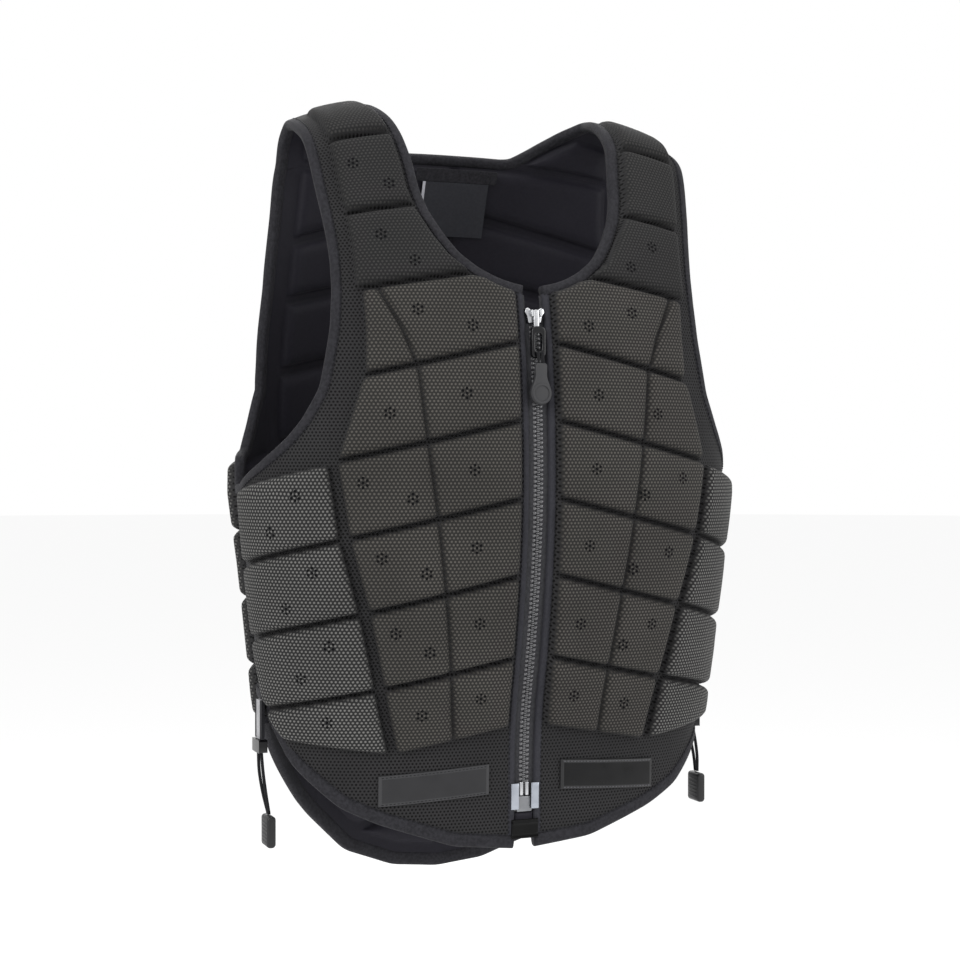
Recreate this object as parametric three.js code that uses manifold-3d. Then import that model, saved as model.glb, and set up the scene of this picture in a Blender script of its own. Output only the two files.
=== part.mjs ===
// An equestrian body protector: a padded, hinged-block vest with a front zip, held up as a torso holds it.
// Millimetres, +Z up, the wearer looks along -Y and the wearer's left is +X.
// The origin is midway between the shoulders, level with the underside of the straps.
import * as THREE from 'three';
import { mergeVertices } from 'three/addons/utils/BufferGeometryUtils.js';
import Module from 'manifold-3d';

// Driving sizes.
const bodyHalfWidth = 180;
const frontDepth = 91;
const backDepth = 120;
const sideLineY = -14;
const frontLength = 508;
const backLength = 556;
const shoulderHeight = 20;
const shoulderSeamY = 22;
const shoulderFall = 58;
const sectionPower = 2.4;
const flatShare = 0.75;
const girthSteps = 24;
const meshThickness = 5.5;
const padStand = 8;
const padBackStand = 5.5;
const ridgeStandShare = 0.4;
const ridgeReach = 70;
const bevelShare = 0.74;
const padBevel = 6;
const shoulderMargin = 12;
const shoulderMarginFall = 0.02;
const backShoulderMargin = 10;
const strapNeckMargin = 3;
const strapArmholeMargin = 9;
const backArmholeMargin = 12;
const wingMargin = 9;
const hemMargin = 9;
const leastMarginHeight = 2;
const leastRowHeight = 7;
const hingeGap = 0.3;
const bindingGap = 0.6;
const hemBindingGap = 1.3;
const seamGap = 0.9;
const zipSlotHalf = 8;
const gussetWidth = 26;
const gussetThickness = 3;
const gussetRows = 6;
const gussetColumns = 3;
const bindingWidth = 5;
const bindingThickness = 7.5;
const bindingStep = 3;
const bindingCornerClear = 4;
const neckCornerClear = 2;

// Zip and its hanging pull.
const chainHalfWidth = 3.8;
const chainThickness = 2.6;
const toothPitch = 10;
const toothDepth = 2.4;
const tapeThickness = 1.6;
const zipDrop = 27.8;
const zipFootRise = 32;
const sliderWidth = 15;
const sliderHeight = 10.5;
const sliderDepth = 7;
const sliderBevel = 0.6;
const lugHeight = 5;
const lugWidth = 1.6;
const lugSink = 0.4;
const lugReach = 0.6;
const pullerWidth = 4.4;
const pullerLength = 15.5;
const pullerThickness = 2.2;
const pullerDrop = 1.5;
const pullerStandOff = 0.9;
const pullerCorner = 1.6;
const linkWidth = 11;
const linkLength = 22;
const linkThickness = 3.8;
const linkRim = 3;
const linkCorner = 3.4;
const linkWindowMargin = 1;
const linkWindowCorner = 1.6;
const plateLap = 4;
const tagLength = 36;
const tagWidth = 15.6;
const tagNeckWidth = 9;
const tagThickness = 5;
const tagBevel = 1;
const boxWidth = 12;
const boxHeight = 11;
const boxDepth = 5;
const boxCorner = 1.5;
const stopPlateWidth = 5.8;
const stopPlateHeight = 18;
const stopPlateThickness = 1.6;
const stopPlateInner = 4.6;
const stopPlateRise = 9;
const hemTabWidth = 15;
const hemTabHeight = 16;
const hemTabThickness = 4;
const hemStripWidth = 20;
const hemStripHeight = 10;
const hemStripThickness = 1.8;

// Patches, label and side cords.
const layGap = 0.5;
const patchThickness = 1.8;
const patchInner = 27;
const patchWidth = 76;
const patchHeight = 21;
const patchRise = 56;
const patchFall = 0.07;
const labelWidth = 54;
const labelHeight = 40;
const labelDrop = 11.9;
const labelThickness = 1.2;
const tapeBandWidth = 66;
const tapeBandHeight = 9;
const sideTabWidth = 18;
const sideTabLength = 27;
const sideTabThickness = 2.4;
const tabDrop = 3;
const tabInset = 5;
const cordGuideHeight = 9;
const cordGuideThickness = 6.5;
const cordDiameter = 2.3;
const cordSides = 8;
const cordStep = 5.75;
const cordEndGap = 0.8;
const cordPullWidth = 17;
const cordPullLength = 22;
const cordPullThickness = 6.5;
const cordPullCorner = 2.6;
const cordPullBevel = 1.2;

// Routes of the side cords, chosen by hand, two strands a side, from the guide's foot down to the pull.
// Each point is a distance to the wearer's left, backwards and up from the middle of the guide's foot.
const cordRoutes = {
  left_cord_front: [[0, -4, -0.3], [1, -6.5, -11.3], [1.5, -8.5, -23.3], [1, -9.5, -34.3]],
  left_cord_back: [[0, 4, -0.3], [1.5, 2, -11.3], [2, -2, -23.3], [1, -6.5, -34.3]],
  right_cord_front: [[0, -4, -0.3], [0.5, -6.5, -13.3], [2, -8.5, -28.3], [4, -9.5, -42.3]],
  right_cord_back: [[0, 4, -0.3], [0, 2, -13.3], [1.5, -2, -28.3], [4, -6.5, -42.3]],
};

// Each level of the front, hem first: heights follow the front length, depths the front depth.
const frontLevels = [
  { name: 'hem', z: -1.0, y: -0.71, depth: 0.71, tilt: 0 },
  { name: 'row 6 foot', z: -0.835, y: -0.747, depth: 0.747, tilt: 0 },
  { name: 'row 5 foot', z: -0.736, y: -0.857, depth: 0.857, tilt: 0 },
  { name: 'row 4 foot', z: -0.624, y: -0.956, depth: 0.956, tilt: 0 },
  { name: 'row 3 foot', z: -0.522, y: -1.0, depth: 1.0, tilt: 0 },
  { name: 'row 2 foot', z: -0.419, y: -0.989, depth: 0.989, tilt: 0 },
  { name: 'row 1 foot', z: -0.315, y: -0.934, depth: 0.934, tilt: 0 },
  { name: 'pad C foot', z: -0.217, y: -0.824, depth: 0.769, tilt: 8 },
  { name: 'pad B foot', z: -0.122, y: -0.626, depth: 0.53, tilt: 25 },
  { name: 'pad A foot', z: -0.024, y: -0.374, depth: 0.46, tilt: 50 },
  { name: 'pad A top', z: 0.021, y: 0.0, depth: 0.58, tilt: 78 },
];

// Half width of the body by height, for the front and the back alike: heights as shares of the front length.
const bodyWidths = [
  { z: -1.1, width: 0.833 },
  { z: -1.0, width: 0.867 },
  { z: -0.835, width: 0.906 },
  { z: -0.736, width: 0.933 },
  { z: -0.624, width: 0.967 },
  { z: -0.522, width: 1.0 },
  { z: -0.419, width: 1.0 },
  { z: -0.315, width: 0.978 },
  { z: -0.217, width: 0.944 },
  { z: -0.122, width: 0.928 },
  { z: -0.024, width: 0.917 },
];

// Each level of the back, tail first: depths follow the back depth.
const backLevels = [
  { name: 'tail', z: -1.0, y: 0.9, depth: 0.9, tilt: 0 },
  { name: 'row 9', z: -0.9, y: 0.908, depth: 0.908, tilt: 0 },
  { name: 'row 8', z: -0.8, y: 0.925, depth: 0.925, tilt: 0 },
  { name: 'row 7', z: -0.7, y: 0.95, depth: 0.95, tilt: 0 },
  { name: 'row 6', z: -0.6, y: 0.975, depth: 0.975, tilt: 0 },
  { name: 'row 5', z: -0.5, y: 1.0, depth: 1.0, tilt: 0 },
  { name: 'row 4', z: -0.4, y: 0.99, depth: 0.99, tilt: 0 },
  { name: 'row 3', z: -0.3, y: 0.94, depth: 0.93, tilt: 0 },
  { name: 'row 2', z: -0.205, y: 0.85, depth: 0.8, tilt: 8 },
  { name: 'row 1', z: -0.117, y: 0.725, depth: 0.6, tilt: 25 },
  { name: 'rim', z: -0.045, y: 0.6, depth: 0.43, tilt: 50 },
  { name: 'strap', z: 0.01, y: 0.47, depth: 0.42, tilt: 72 },
];

// Chevron grooves of the front: height at the centre as a share of the length, and the fall towards the side.
const frontGrooves = {
  six: { z: -0.835, fall: 0.2 },
  five: { z: -0.736, fall: 0.22 },
  four: { z: -0.624, fall: 0.24 },
  three: { z: -0.522, fall: 0.23 },
  two: { z: -0.419, fall: 0.225 },
  one: { z: -0.315, fall: 0.225 },
  strapC: { z: -0.217, fall: 0.15 },
  strapB: { z: -0.122, fall: 0.1 },
  strapA: { z: -0.024, fall: 0.06 },
};

// Chevron grooves of the back, as shares of the back length.
const backGrooves = [
  { z: -0.908, fall: 0.3 },
  { z: -0.813, fall: 0.24 },
  { z: -0.719, fall: 0.225 },
  { z: -0.63, fall: 0.225 },
  { z: -0.54, fall: 0.225 },
  { z: -0.45, fall: 0.225 },
  { z: -0.36, fall: 0.225 },
  { z: -0.264, fall: 0.225 },
  { z: -0.171, fall: 0.2 },
  { z: -0.09, fall: 0.19 },
];
const backRim = { z: -0.0272, fall: 0 };

// Seams and edges of the front panel by height; all as shares of the half width.
const frontSeams = [
  { z: -1.0, mid: 0.27, foam: 0.47, edge: 0.5 },
  { z: -0.868, mid: 0.295, foam: 0.515, edge: 0.535 },
  { z: -0.781, mid: 0.317, foam: 0.57, edge: 0.59 },
  { z: -0.681, mid: 0.35, foam: 0.635, edge: 0.655 },
  { z: -0.58, mid: 0.39, foam: 0.713, edge: 0.733 },
  { z: -0.48, mid: 0.43, foam: 0.758, edge: 0.778 },
  { z: -0.42, mid: 0.45, foam: 0.71, edge: 0.779 },
  { z: -0.36, mid: 0.467, foam: 0.66, edge: 0.775 },
  { z: -0.307, mid: 0.52, foam: 0.655, edge: 0.745 },
  { z: -0.25, mid: 0.6, foam: 0.66, edge: 0.733 },
];

// Neck and armhole edges of the front strap by height, up to the shoulder seam.
const frontStrapEdges = [
  { z: -0.235, inner: 0.2, outer: 0.733 },
  { z: -0.207, inner: 0.301, outer: 0.733 },
  { z: -0.178, inner: 0.358, outer: 0.738 },
  { z: -0.144, inner: 0.407, outer: 0.748 },
  { z: -0.111, inner: 0.433, outer: 0.76 },
  { z: -0.075, inner: 0.444, outer: 0.771 },
  { z: -0.024, inner: 0.472, outer: 0.785 },
  { z: 0.021, inner: 0.502, outer: 0.785 },
];
const frontStrapSeam = { inner: 0.535, outer: 0.77 };

// Scoop of the neck on the front panels by distance from the centre.
const frontNeck = [
  { u: 0.04, z: -0.252 },
  { u: 0.134, z: -0.2445 },
  { u: 0.218, z: -0.2295 },
  { u: 0.3, z: -0.207 },
];

// Edges of the back panel by height: the foam's side and the sewn edge, shares of the half width.
const backSeams = [
  { z: -1.0, foam: 0.53, edge: 0.57 },
  { z: -0.91, foam: 0.54, edge: 0.58 },
  { z: -0.85, foam: 0.575, edge: 0.607 },
  { z: -0.72, foam: 0.645, edge: 0.665 },
  { z: -0.63, foam: 0.7, edge: 0.72 },
  { z: -0.54, foam: 0.74, edge: 0.76 },
  { z: -0.45, foam: 0.765, edge: 0.785 },
  { z: -0.385, foam: 0.77, edge: 0.82 },
  { z: -0.335, foam: 0.77, edge: 0.86 },
  { z: -0.26, foam: 0.765, edge: 0.855 },
  { z: -0.17, foam: 0.745, edge: 0.83 },
  { z: -0.09, foam: 0.72, edge: 0.795 },
  { z: -0.01, foam: 0.7, edge: 0.772 },
];

// Hem of the front by distance from the centre: both as shares, of the half width and of the front length.
const frontHem = [
  { u: 0.0, z: -1.0 },
  { u: 0.28, z: -0.99 },
  { u: 0.56, z: -0.957 },
  { u: 0.7, z: -0.934 },
  { u: 0.86, z: -0.888 },
  { u: 1.0, z: -0.842 },
  { u: 1.13, z: -0.8 },
  { u: 1.3, z: -0.8 },
];

// Hem of the back by distance from the centre.
const backHem = [
  { u: 0.0, z: -1.0 },
  { u: 0.2, z: -0.993 },
  { u: 0.42, z: -0.965 },
  { u: 0.6, z: -0.908 },
  { u: 0.76, z: -0.848 },
  { u: 0.92, z: -0.79 },
  { u: 1.08, z: -0.75 },
  { u: 1.3, z: -0.73 },
];

// Lower curve of the armhole on the front wing, by distance round the body.
const frontArmhole = [
  { u: 0.775, z: -0.36 },
  { u: 0.79, z: -0.385 },
  { u: 0.826, z: -0.408 },
  { u: 0.867, z: -0.431 },
  { u: 0.932, z: -0.456 },
  { u: 1.004, z: -0.475 },
  { u: 1.092, z: -0.493 },
  { u: 1.214, z: -0.51 },
  { u: 1.3, z: -0.52 },
];

// Lower curve of the armhole on the back wing.
const backArmhole = [
  { u: 0.86, z: -0.345 },
  { u: 0.92, z: -0.392 },
  { u: 1.0, z: -0.428 },
  { u: 1.1, z: -0.455 },
  { u: 1.3, z: -0.473 },
];

// Side of the front wing by height: where its foam ends, and its sewn edge.
const frontWingEdge = [
  { z: -0.87, foam: 0.9, edge: 1.13 },
  { z: -0.81, foam: 1.03, edge: 1.13 },
  { z: -0.72, foam: 1.14, edge: 1.19 },
  { z: -0.62, foam: 1.2, edge: 1.25 },
  { z: -0.5, foam: 1.22, edge: 1.27 },
];

// Lowest pad lines of the wings, which climb outwards: a place as shares, and the rise for each millimetre outwards.
const frontWingStart = { u: 0.535, z: -0.872, rise: 0.13 };
const backWingStart = { u: 0.66, z: -0.79, rise: 0.22 };

// Edges of the back strap as shares of the half width, by share of the way from its foot to the shoulder seam.
const backStrapInner = [
  { share: 0, u: 0.25 },
  { share: 0.2, u: 0.333 },
  { share: 0.49, u: 0.428 },
  { share: 0.81, u: 0.5 },
  { share: 1, u: 0.535 },
];
const backStrapOuter = [
  { share: 0, u: 0.772 },
  { share: 1, u: 0.77 },
];

// Straight-line interpolation in a table by a named key column.
function lookUp(rows, key, column, at) {
  const rising = rows[0][key] < rows[rows.length - 1][key];
  const ordered = rising ? rows : [...rows].reverse();
  if (at <= ordered[0][key]) return ordered[0][column];
  for (let i = 1; i < ordered.length; i += 1) {
    const low = ordered[i - 1];
    const high = ordered[i];
    if (at <= high[key]) {
      const share = (at - low[key]) / (high[key] - low[key]);
      return low[column] + share * (high[column] - low[column]);
    }
  }
  return ordered[ordered.length - 1][column];
}

// Levels in millimetres, closed at the top by the shoulder seam that front and back share.
function realLevels(rows, length, depth) {
  const levels = rows.map((row) => ({
    name: row.name,
    z: row.z * length,
    y: sideLineY + row.y * depth,
    depth: row.depth * depth,
    tilt: THREE.MathUtils.degToRad(row.tilt),
  }));
  levels.push({
    name: 'seam',
    z: shoulderHeight,
    y: shoulderSeamY,
    depth: shoulderFall,
    tilt: Math.PI / 2,
  });
  return levels;
}

// A side of the body: its centre profile as a smooth curve with its length measured along it from the hem.
function makeSide(rows, length, depth, outwardY) {
  const levels = realLevels(rows, length, depth);
  const profile = new THREE.CatmullRomCurve3(
    levels.map((level) => new THREE.Vector3(0, level.y, level.z)),
    false,
    'centripetal',
  );
  const steps = (levels.length - 1) * 8;
  const samples = [{ t: 0, along: 0, z: levels[0].z }];
  let previous = profile.getPoint(0);
  for (let i = 1; i <= steps; i += 1) {
    const point = profile.getPoint(i / steps);
    const along = samples[i - 1].along + point.distanceTo(previous);
    samples.push({ t: i / steps, along, z: point.z });
    previous = point;
  }
  return { levels, profile, samples, outwardY, length };
}
const front = makeSide(frontLevels, frontLength, frontDepth, -1);
const back = makeSide(backLevels, backLength, backDepth, 1);

// Distance along the centre profile of a height below the shoulders.
function alongOfZ(side, z) {
  return lookUp(side.samples, 'z', 'along', z);
}
const frontSeamAlong = front.samples[front.samples.length - 1].along;
const backSeamAlong = back.samples[back.samples.length - 1].along;

// Section sizes at a distance along the profile.
function sectionAt(side, along) {
  const extra = Math.min(along, 0);
  const t = lookUp(side.samples, 'along', 't', along);
  const centre = side.profile.getPoint(t);
  const place = t * (side.levels.length - 1);
  const index = Math.min(Math.floor(place), side.levels.length - 2);
  const share = place - index;
  const low = side.levels[index];
  const high = side.levels[index + 1];
  const mix = (key) => low[key] + share * (high[key] - low[key]);
  const z = centre.z + extra;
  const tilt = mix('tilt');
  return {
    y: centre.y,
    z,
    width: lookUp(bodyWidths, 'z', 'width', z / frontLength) * bodyHalfWidth,
    depth: tilt === 0 ? Math.abs(centre.y - sideLineY) : mix('depth'),
    tilt,
  };
}

// Angle round a superellipse at a distance from the centre: straight across first, then along the curve.
function angleAt(width, depth, otherDepth, distance) {
  const flat = flatShare * width;
  if (distance <= flat) return Math.asin((distance / width) ** (sectionPower / 2));
  let angle = Math.asin(flatShare ** (sectionPower / 2));
  let left = distance - flat;
  const step = 0.02;
  let here = sectionPoint(width, depth, otherDepth, angle);
  for (let i = 0; i < 120; i += 1) {
    const next = sectionPoint(width, depth, otherDepth, angle + step);
    const piece = Math.hypot(next.x - here.x, next.inward - here.inward);
    if (piece >= left) return angle + (step * left) / piece;
    left -= piece;
    angle += step;
    here = next;
  }
  return angle;
}

// Place on a superellipse: how far across, and how far in from the centre profile.
function sectionPoint(width, depth, otherDepth, angle) {
  const power = 2 / sectionPower;
  const across = Math.abs(Math.sin(angle)) ** power;
  const towards = Math.abs(Math.cos(angle)) ** power;
  const inward = angle <= Math.PI / 2 ? depth * (1 - towards) : depth + otherDepth * towards;
  return { x: width * across, inward };
}

// Middle of the cloth at a distance from the centre line and a distance along the profile.
function sheetPoint(side, distance, along) {
  const section = sectionAt(side, along);
  const other = side === front ? back : front;
  const otherDepth = sectionAt(other, alongOfZ(other, section.z)).depth;
  const angle = angleAt(section.width, section.depth, otherDepth, Math.abs(distance));
  const place = sectionPoint(section.width, section.depth, otherDepth, angle);
  return new THREE.Vector3(
    Math.sign(distance) * place.x,
    section.y - side.outwardY * place.inward * Math.cos(section.tilt),
    section.z - place.inward * Math.sin(section.tilt),
  );
}

// Place and outward normal of the cloth.
function sheetFrame(side, distance, along) {
  const step = 1.5;
  const point = sheetPoint(side, distance, along);
  const near = Math.abs(distance) < step ? step : distance;
  const across = sheetPoint(side, near + step, along).sub(sheetPoint(side, near - step, along));
  const up = sheetPoint(side, near, along + step).sub(sheetPoint(side, near, along - step));
  const normal = across.cross(up).normalize().multiplyScalar(-side.outwardY);
  if (Math.abs(distance) < step) normal.x = 0;
  if (along > side.samples[side.samples.length - 1].along - step) normal.y = 0;
  return { point, normal: normal.normalize() };
}

// Half the girth at a height, from the front centre round to the back centre.
function halfGirth(z) {
  const quarter = (side) => {
    const section = sectionAt(side, alongOfZ(side, z));
    let angle = Math.asin(flatShare ** (sectionPower / 2));
    let here = sectionPoint(section.width, section.depth, section.depth, angle);
    let total = flatShare * section.width;
    const step = (Math.PI / 2 - angle) / girthSteps;
    for (let i = 0; i < girthSteps; i += 1) {
      angle += step;
      const next = sectionPoint(section.width, section.depth, section.depth, angle);
      total += Math.hypot(next.x - here.x, next.inward - here.inward);
      here = next;
    }
    return total;
  };
  return quarter(front) + quarter(back);
}

// A closed solid from a grid of places, with an outer and an inner surface and walls round its border.
function shellGeometry(grid) {
  const rows = grid.length;
  const columns = grid[0].length;
  const vertices = [];
  for (const layer of ['outer', 'inner']) {
    for (const row of grid) {
      for (const cell of row) vertices.push(...cell[layer].toArray());
    }
  }
  const offset = rows * columns;
  const faces = [];
  const quad = (a, b, c, d) => faces.push(a, b, c, a, c, d);
  const id = (i, j) => i * columns + j;
  for (let i = 0; i < rows - 1; i += 1) {
    for (let j = 0; j < columns - 1; j += 1) {
      quad(id(i, j), id(i, j + 1), id(i + 1, j + 1), id(i + 1, j));
      quad(id(i, j) + offset, id(i + 1, j) + offset, id(i + 1, j + 1) + offset, id(i, j + 1) + offset);
    }
  }
  const border = [];
  for (let j = 0; j < columns; j += 1) border.push(id(0, j));
  for (let i = 1; i < rows; i += 1) border.push(id(i, columns - 1));
  for (let j = columns - 2; j >= 0; j -= 1) border.push(id(rows - 1, j));
  for (let i = rows - 2; i > 0; i -= 1) border.push(id(i, 0));
  for (let k = 0; k < border.length; k += 1) {
    const a = border[k];
    const b = border[(k + 1) % border.length];
    quad(b, a, a + offset, b + offset);
  }
  return facingOut(vertices, faces);
}

// Geometry whose faces point out, whichever way the surface was laid.
function facingOut(vertices, faces) {
  let volume = 0;
  const at = (k) => new THREE.Vector3(vertices[3 * k], vertices[3 * k + 1], vertices[3 * k + 2]);
  for (let k = 0; k < faces.length; k += 3) {
    volume += at(faces[k]).dot(at(faces[k + 1]).cross(at(faces[k + 2])));
  }
  const ordered = [];
  for (let k = 0; k < faces.length; k += 3) {
    if (volume > 0) ordered.push(faces[k], faces[k + 1], faces[k + 2]);
    else ordered.push(faces[k], faces[k + 2], faces[k + 1]);
  }
  const geometry = new THREE.BufferGeometry();
  geometry.setAttribute('position', new THREE.Float32BufferAttribute(vertices, 3));
  geometry.setIndex(ordered);
  geometry.computeVertexNormals();
  return geometry;
}

// The same geometry on the other side of the body.
function mirrored(geometry) {
  const vertices = Array.from(geometry.getAttribute('position').array);
  for (let k = 0; k < vertices.length; k += 3) vertices[k] = -vertices[k];
  return facingOut(vertices, Array.from(geometry.index.array));
}

// How far the cloth stands out and in at a line crossing: flat at edges and grooves, full inside a pad.
function standAt(rowKind, columnKind) {
  if (rowKind === 'flat' || columnKind === 'flat') return 0;
  if (rowKind === 'bevel' || columnKind === 'bevel') return bevelShare;
  return 1;
}

// The value that a function gives back unchanged, found by secants.
function crossing(next) {
  let before = 60;
  let nextBefore = next(before);
  let value = nextBefore;
  for (let round = 0; round < 14; round += 1) {
    const nextValue = next(value);
    if (Math.abs(value - before) < 1e-6) return nextValue;
    const slope = Math.min((nextValue - nextBefore) / (value - before), 0.9);
    before = value;
    nextBefore = nextValue;
    value += (nextValue - value) / (1 - slope);
  }
  return value;
}

// A grid of places where row lines cross column lines, with the pads' relief.
// The blocks get thinner towards the ridge of the shoulder.
function ridgeShare(side, along) {
  const left = side.samples[side.samples.length - 1].along - along;
  return THREE.MathUtils.lerp(ridgeStandShare, 1, THREE.MathUtils.clamp(left / ridgeReach, 0, 1));
}

function quiltGrid(side, rowLines, columnLines) {
  return rowLines.map((rowLine) => columnLines.map((columnLine) => {
    const distance = crossing((u) => columnLine.distance(rowLine.along(u)));
    const along = rowLine.along(distance);
    const { point, normal } = sheetFrame(side, distance, along);
    const stand = standAt(rowLine.kind, columnLine.kind);
    const outward = meshThickness / 2 + stand * padStand * ridgeShare(side, along);
    const inward = meshThickness / 2 + stand * padBackStand;
    return {
      point,
      normal,
      outer: point.clone().addScaledVector(normal, outward),
      inner: point.clone().addScaledVector(normal, -inward),
    };
  }));
}

// Lines across pads: each foot line is a groove, with a bevel above and below and a crown between.
function padRows(feet, top) {
  const lines = [];
  feet.forEach((foot, index) => {
    const head = index + 1 < feet.length ? feet[index + 1] : top;
    lines.push({ kind: 'flat', along: foot });
    lines.push({ kind: 'bevel', along: (u) => foot(u) + Math.min(padBevel, (head(u) - foot(u)) / 4) });
    lines.push({ kind: 'crown', along: (u) => (foot(u) + head(u)) / 2 });
    lines.push({ kind: 'bevel', along: (u) => head(u) - Math.min(padBevel, (head(u) - foot(u)) / 4) });
  });
  lines.push({ kind: 'flat', along: top });
  return lines;
}

// Columns of pads between seam lines, in the same way, with as many crown lines as a wide block needs.
function padColumns(seams, crowns = 1) {
  const lines = [];
  for (let k = 0; k + 1 < seams.length; k += 1) {
    const low = seams[k];
    const high = seams[k + 1];
    const bevel = (along) => Math.min(padBevel, (high(along) - low(along)) / 4);
    lines.push({ kind: 'flat', distance: low });
    lines.push({ kind: 'bevel', distance: (along) => low(along) + bevel(along) });
    for (let n = 1; n <= crowns; n += 1) {
      const share = n / (crowns + 1);
      lines.push({ kind: 'crown', distance: (along) => low(along) + share * (high(along) - low(along)) });
    }
    lines.push({ kind: 'bevel', distance: (along) => high(along) - bevel(along) });
  }
  lines.push({ kind: 'flat', distance: seams[seams.length - 1] });
  return lines;
}

// Line functions from the tables.
const grooveLine = (side, groove, shift = 0) => {
  const start = alongOfZ(side, groove.z * side.length);
  return (u) => start - groove.fall * Math.abs(u) + shift;
};
const heightLine = (side, rows, shift = 0) => (u) => {
  const share = lookUp(rows, 'u', 'z', Math.abs(u) / bodyHalfWidth);
  return alongOfZ(side, share * side.length) + shift;
};
const seamLine = (side, rows, column, shift = 0) => (along) => {
  const share = sectionAt(side, along).z / side.length;
  return lookUp(rows, 'z', column, share) * bodyHalfWidth + shift;
};
const strapRow = (row, along) => ({ along, inner: row.inner * bodyHalfWidth, outer: row.outer * bodyHalfWidth });
const strapRows = [
  ...frontStrapEdges.map((row) => strapRow(row, alongOfZ(front, row.z * frontLength))),
  strapRow(frontStrapSeam, frontSeamAlong),
];
const strapEdge = (column, shift = 0) => (along) => lookUp(strapRows, 'along', column, along) + shift;
const steady = (value) => () => value;
const risingLine = (side, start) => {
  const from = alongOfZ(side, start.z * side.length);
  return (u) => from + start.rise * (u - start.u * bodyHalfWidth);
};

// Lines one above the other that never cross: each keeps a least height over the one below.
function stacked(lines, least = leastRowHeight) {
  const kept = [lines[0]];
  for (let k = 1; k < lines.length; k += 1) {
    const below = kept[k - 1];
    kept.push((u) => Math.max(lines[k](u), below(u) + least));
  }
  return kept;
}

// Front panel beside the zip: rows 1 to 6, two blocks a row, flat mesh at the hem and beside the armhole.
const margin = (line, kind = 'flat') => ({ kind, distance: line });
const hemFoot = heightLine(front, frontHem);
const neckScoop = heightLine(front, frontNeck);
const panelHead = grooveLine(front, frontGrooves.strapC, -seamGap / 2);
const panelTop = (u) => Math.min(panelHead(u), neckScoop(u));
const panelFeet = ['six', 'five', 'four', 'three', 'two', 'one'].map((key) => grooveLine(front, frontGrooves[key]));
const panelRowLines = [
  { kind: 'flat', along: hemFoot },
  { kind: 'flat', along: (u) => (hemFoot(u) + panelFeet[0](u)) / 2 },
  ...padRows(panelFeet, panelTop),
];
const panelColumnLines = [
  ...padColumns([steady(zipSlotHalf), seamLine(front, frontSeams, 'mid'), seamLine(front, frontSeams, 'foam')]),
  margin(seamLine(front, frontSeams, 'edge', -seamGap / 2)),
];
const panelGrid = quiltGrid(front, panelRowLines, panelColumnLines);

// Front strap: pads C, B and A up to the shoulder seam.
const strapTop = steady(frontSeamAlong - seamGap / 2);
const strapFeet = [
  grooveLine(front, frontGrooves.strapC, seamGap / 2),
  grooveLine(front, frontGrooves.strapB),
  grooveLine(front, frontGrooves.strapA),
];
const strapHead = (u) => frontSeamAlong - shoulderMargin - shoulderMarginFall * u;
const strapRowLines = [...padRows(strapFeet, strapHead), { kind: 'flat', along: strapTop }];
const strapColumnLines = [
  margin(strapEdge('inner')),
  ...padColumns([strapEdge('inner', strapNeckMargin), strapEdge('outer', -strapArmholeMargin)]),
  margin(strapEdge('outer')),
];
const strapGrid = quiltGrid(front, strapRowLines, strapColumnLines);

// Front wing: four blocks between the panel and the side, with the armhole's curve above.
const wingCrowns = 2;
const backCrowns = 2;
const wingFoot = risingLine(front, frontWingStart);
const wingTopPad = grooveLine(front, frontGrooves.two);
const wingFeet = [wingFoot, ...['five', 'four', 'three'].map((key) => grooveLine(front, frontGrooves[key]))];
const wingLines = stacked([hemFoot, ...wingFeet, wingTopPad]);
const wingRowLines = [
  { kind: 'flat', along: hemFoot },
  ...padRows(wingLines.slice(1, -1), wingLines.at(-1)),
  { kind: 'flat', along: stacked([wingTopPad, heightLine(front, frontArmhole)], leastMarginHeight).at(-1) },
];
const wingOuter = seamLine(front, frontWingEdge, 'edge');
const wingFoam = seamLine(front, frontWingEdge, 'foam');
const wingInner = seamLine(front, frontSeams, 'edge', seamGap / 2);
const wingColumnLines = [
  ...padColumns([wingInner, wingFoam], wingCrowns),
  margin((along) => THREE.MathUtils.lerp(wingFoam(along), wingOuter(along), 1 / 3)),
  margin((along) => THREE.MathUtils.lerp(wingFoam(along), wingOuter(along), 2 / 3)),
  margin(wingOuter),
];
const wingGrid = quiltGrid(front, wingRowLines, wingColumnLines);

// Back panel: a centre seam, one wide block each side of it in every row, down to the rounded tail.
const backFeet = backGrooves.map((groove) => grooveLine(back, groove));
const backTop = grooveLine(back, backRim, -seamGap / 2);
const backHemLine = heightLine(back, backHem);
const backLines = stacked([backHemLine, (u) => backHemLine(u) + hemMargin, ...backFeet, backTop]);
const backRowLines = [
  { kind: 'flat', along: backHemLine },
  ...padRows(backLines.slice(1, -1), backLines.at(-1)),
];
const halfBackSeams = [steady(0), seamLine(back, backSeams, 'foam')];
const backEdge = seamLine(back, backSeams, 'edge', -seamGap / 2);
const halfBackLines = [...padColumns(halfBackSeams, backCrowns), margin(backEdge)];
const otherHalf = halfBackLines.slice(1).reverse().map((line) => ({
  kind: line.kind,
  distance: (along) => -line.distance(along),
}));
const backGrid = quiltGrid(back, backRowLines, [...otherHalf, ...halfBackLines]);

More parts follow.
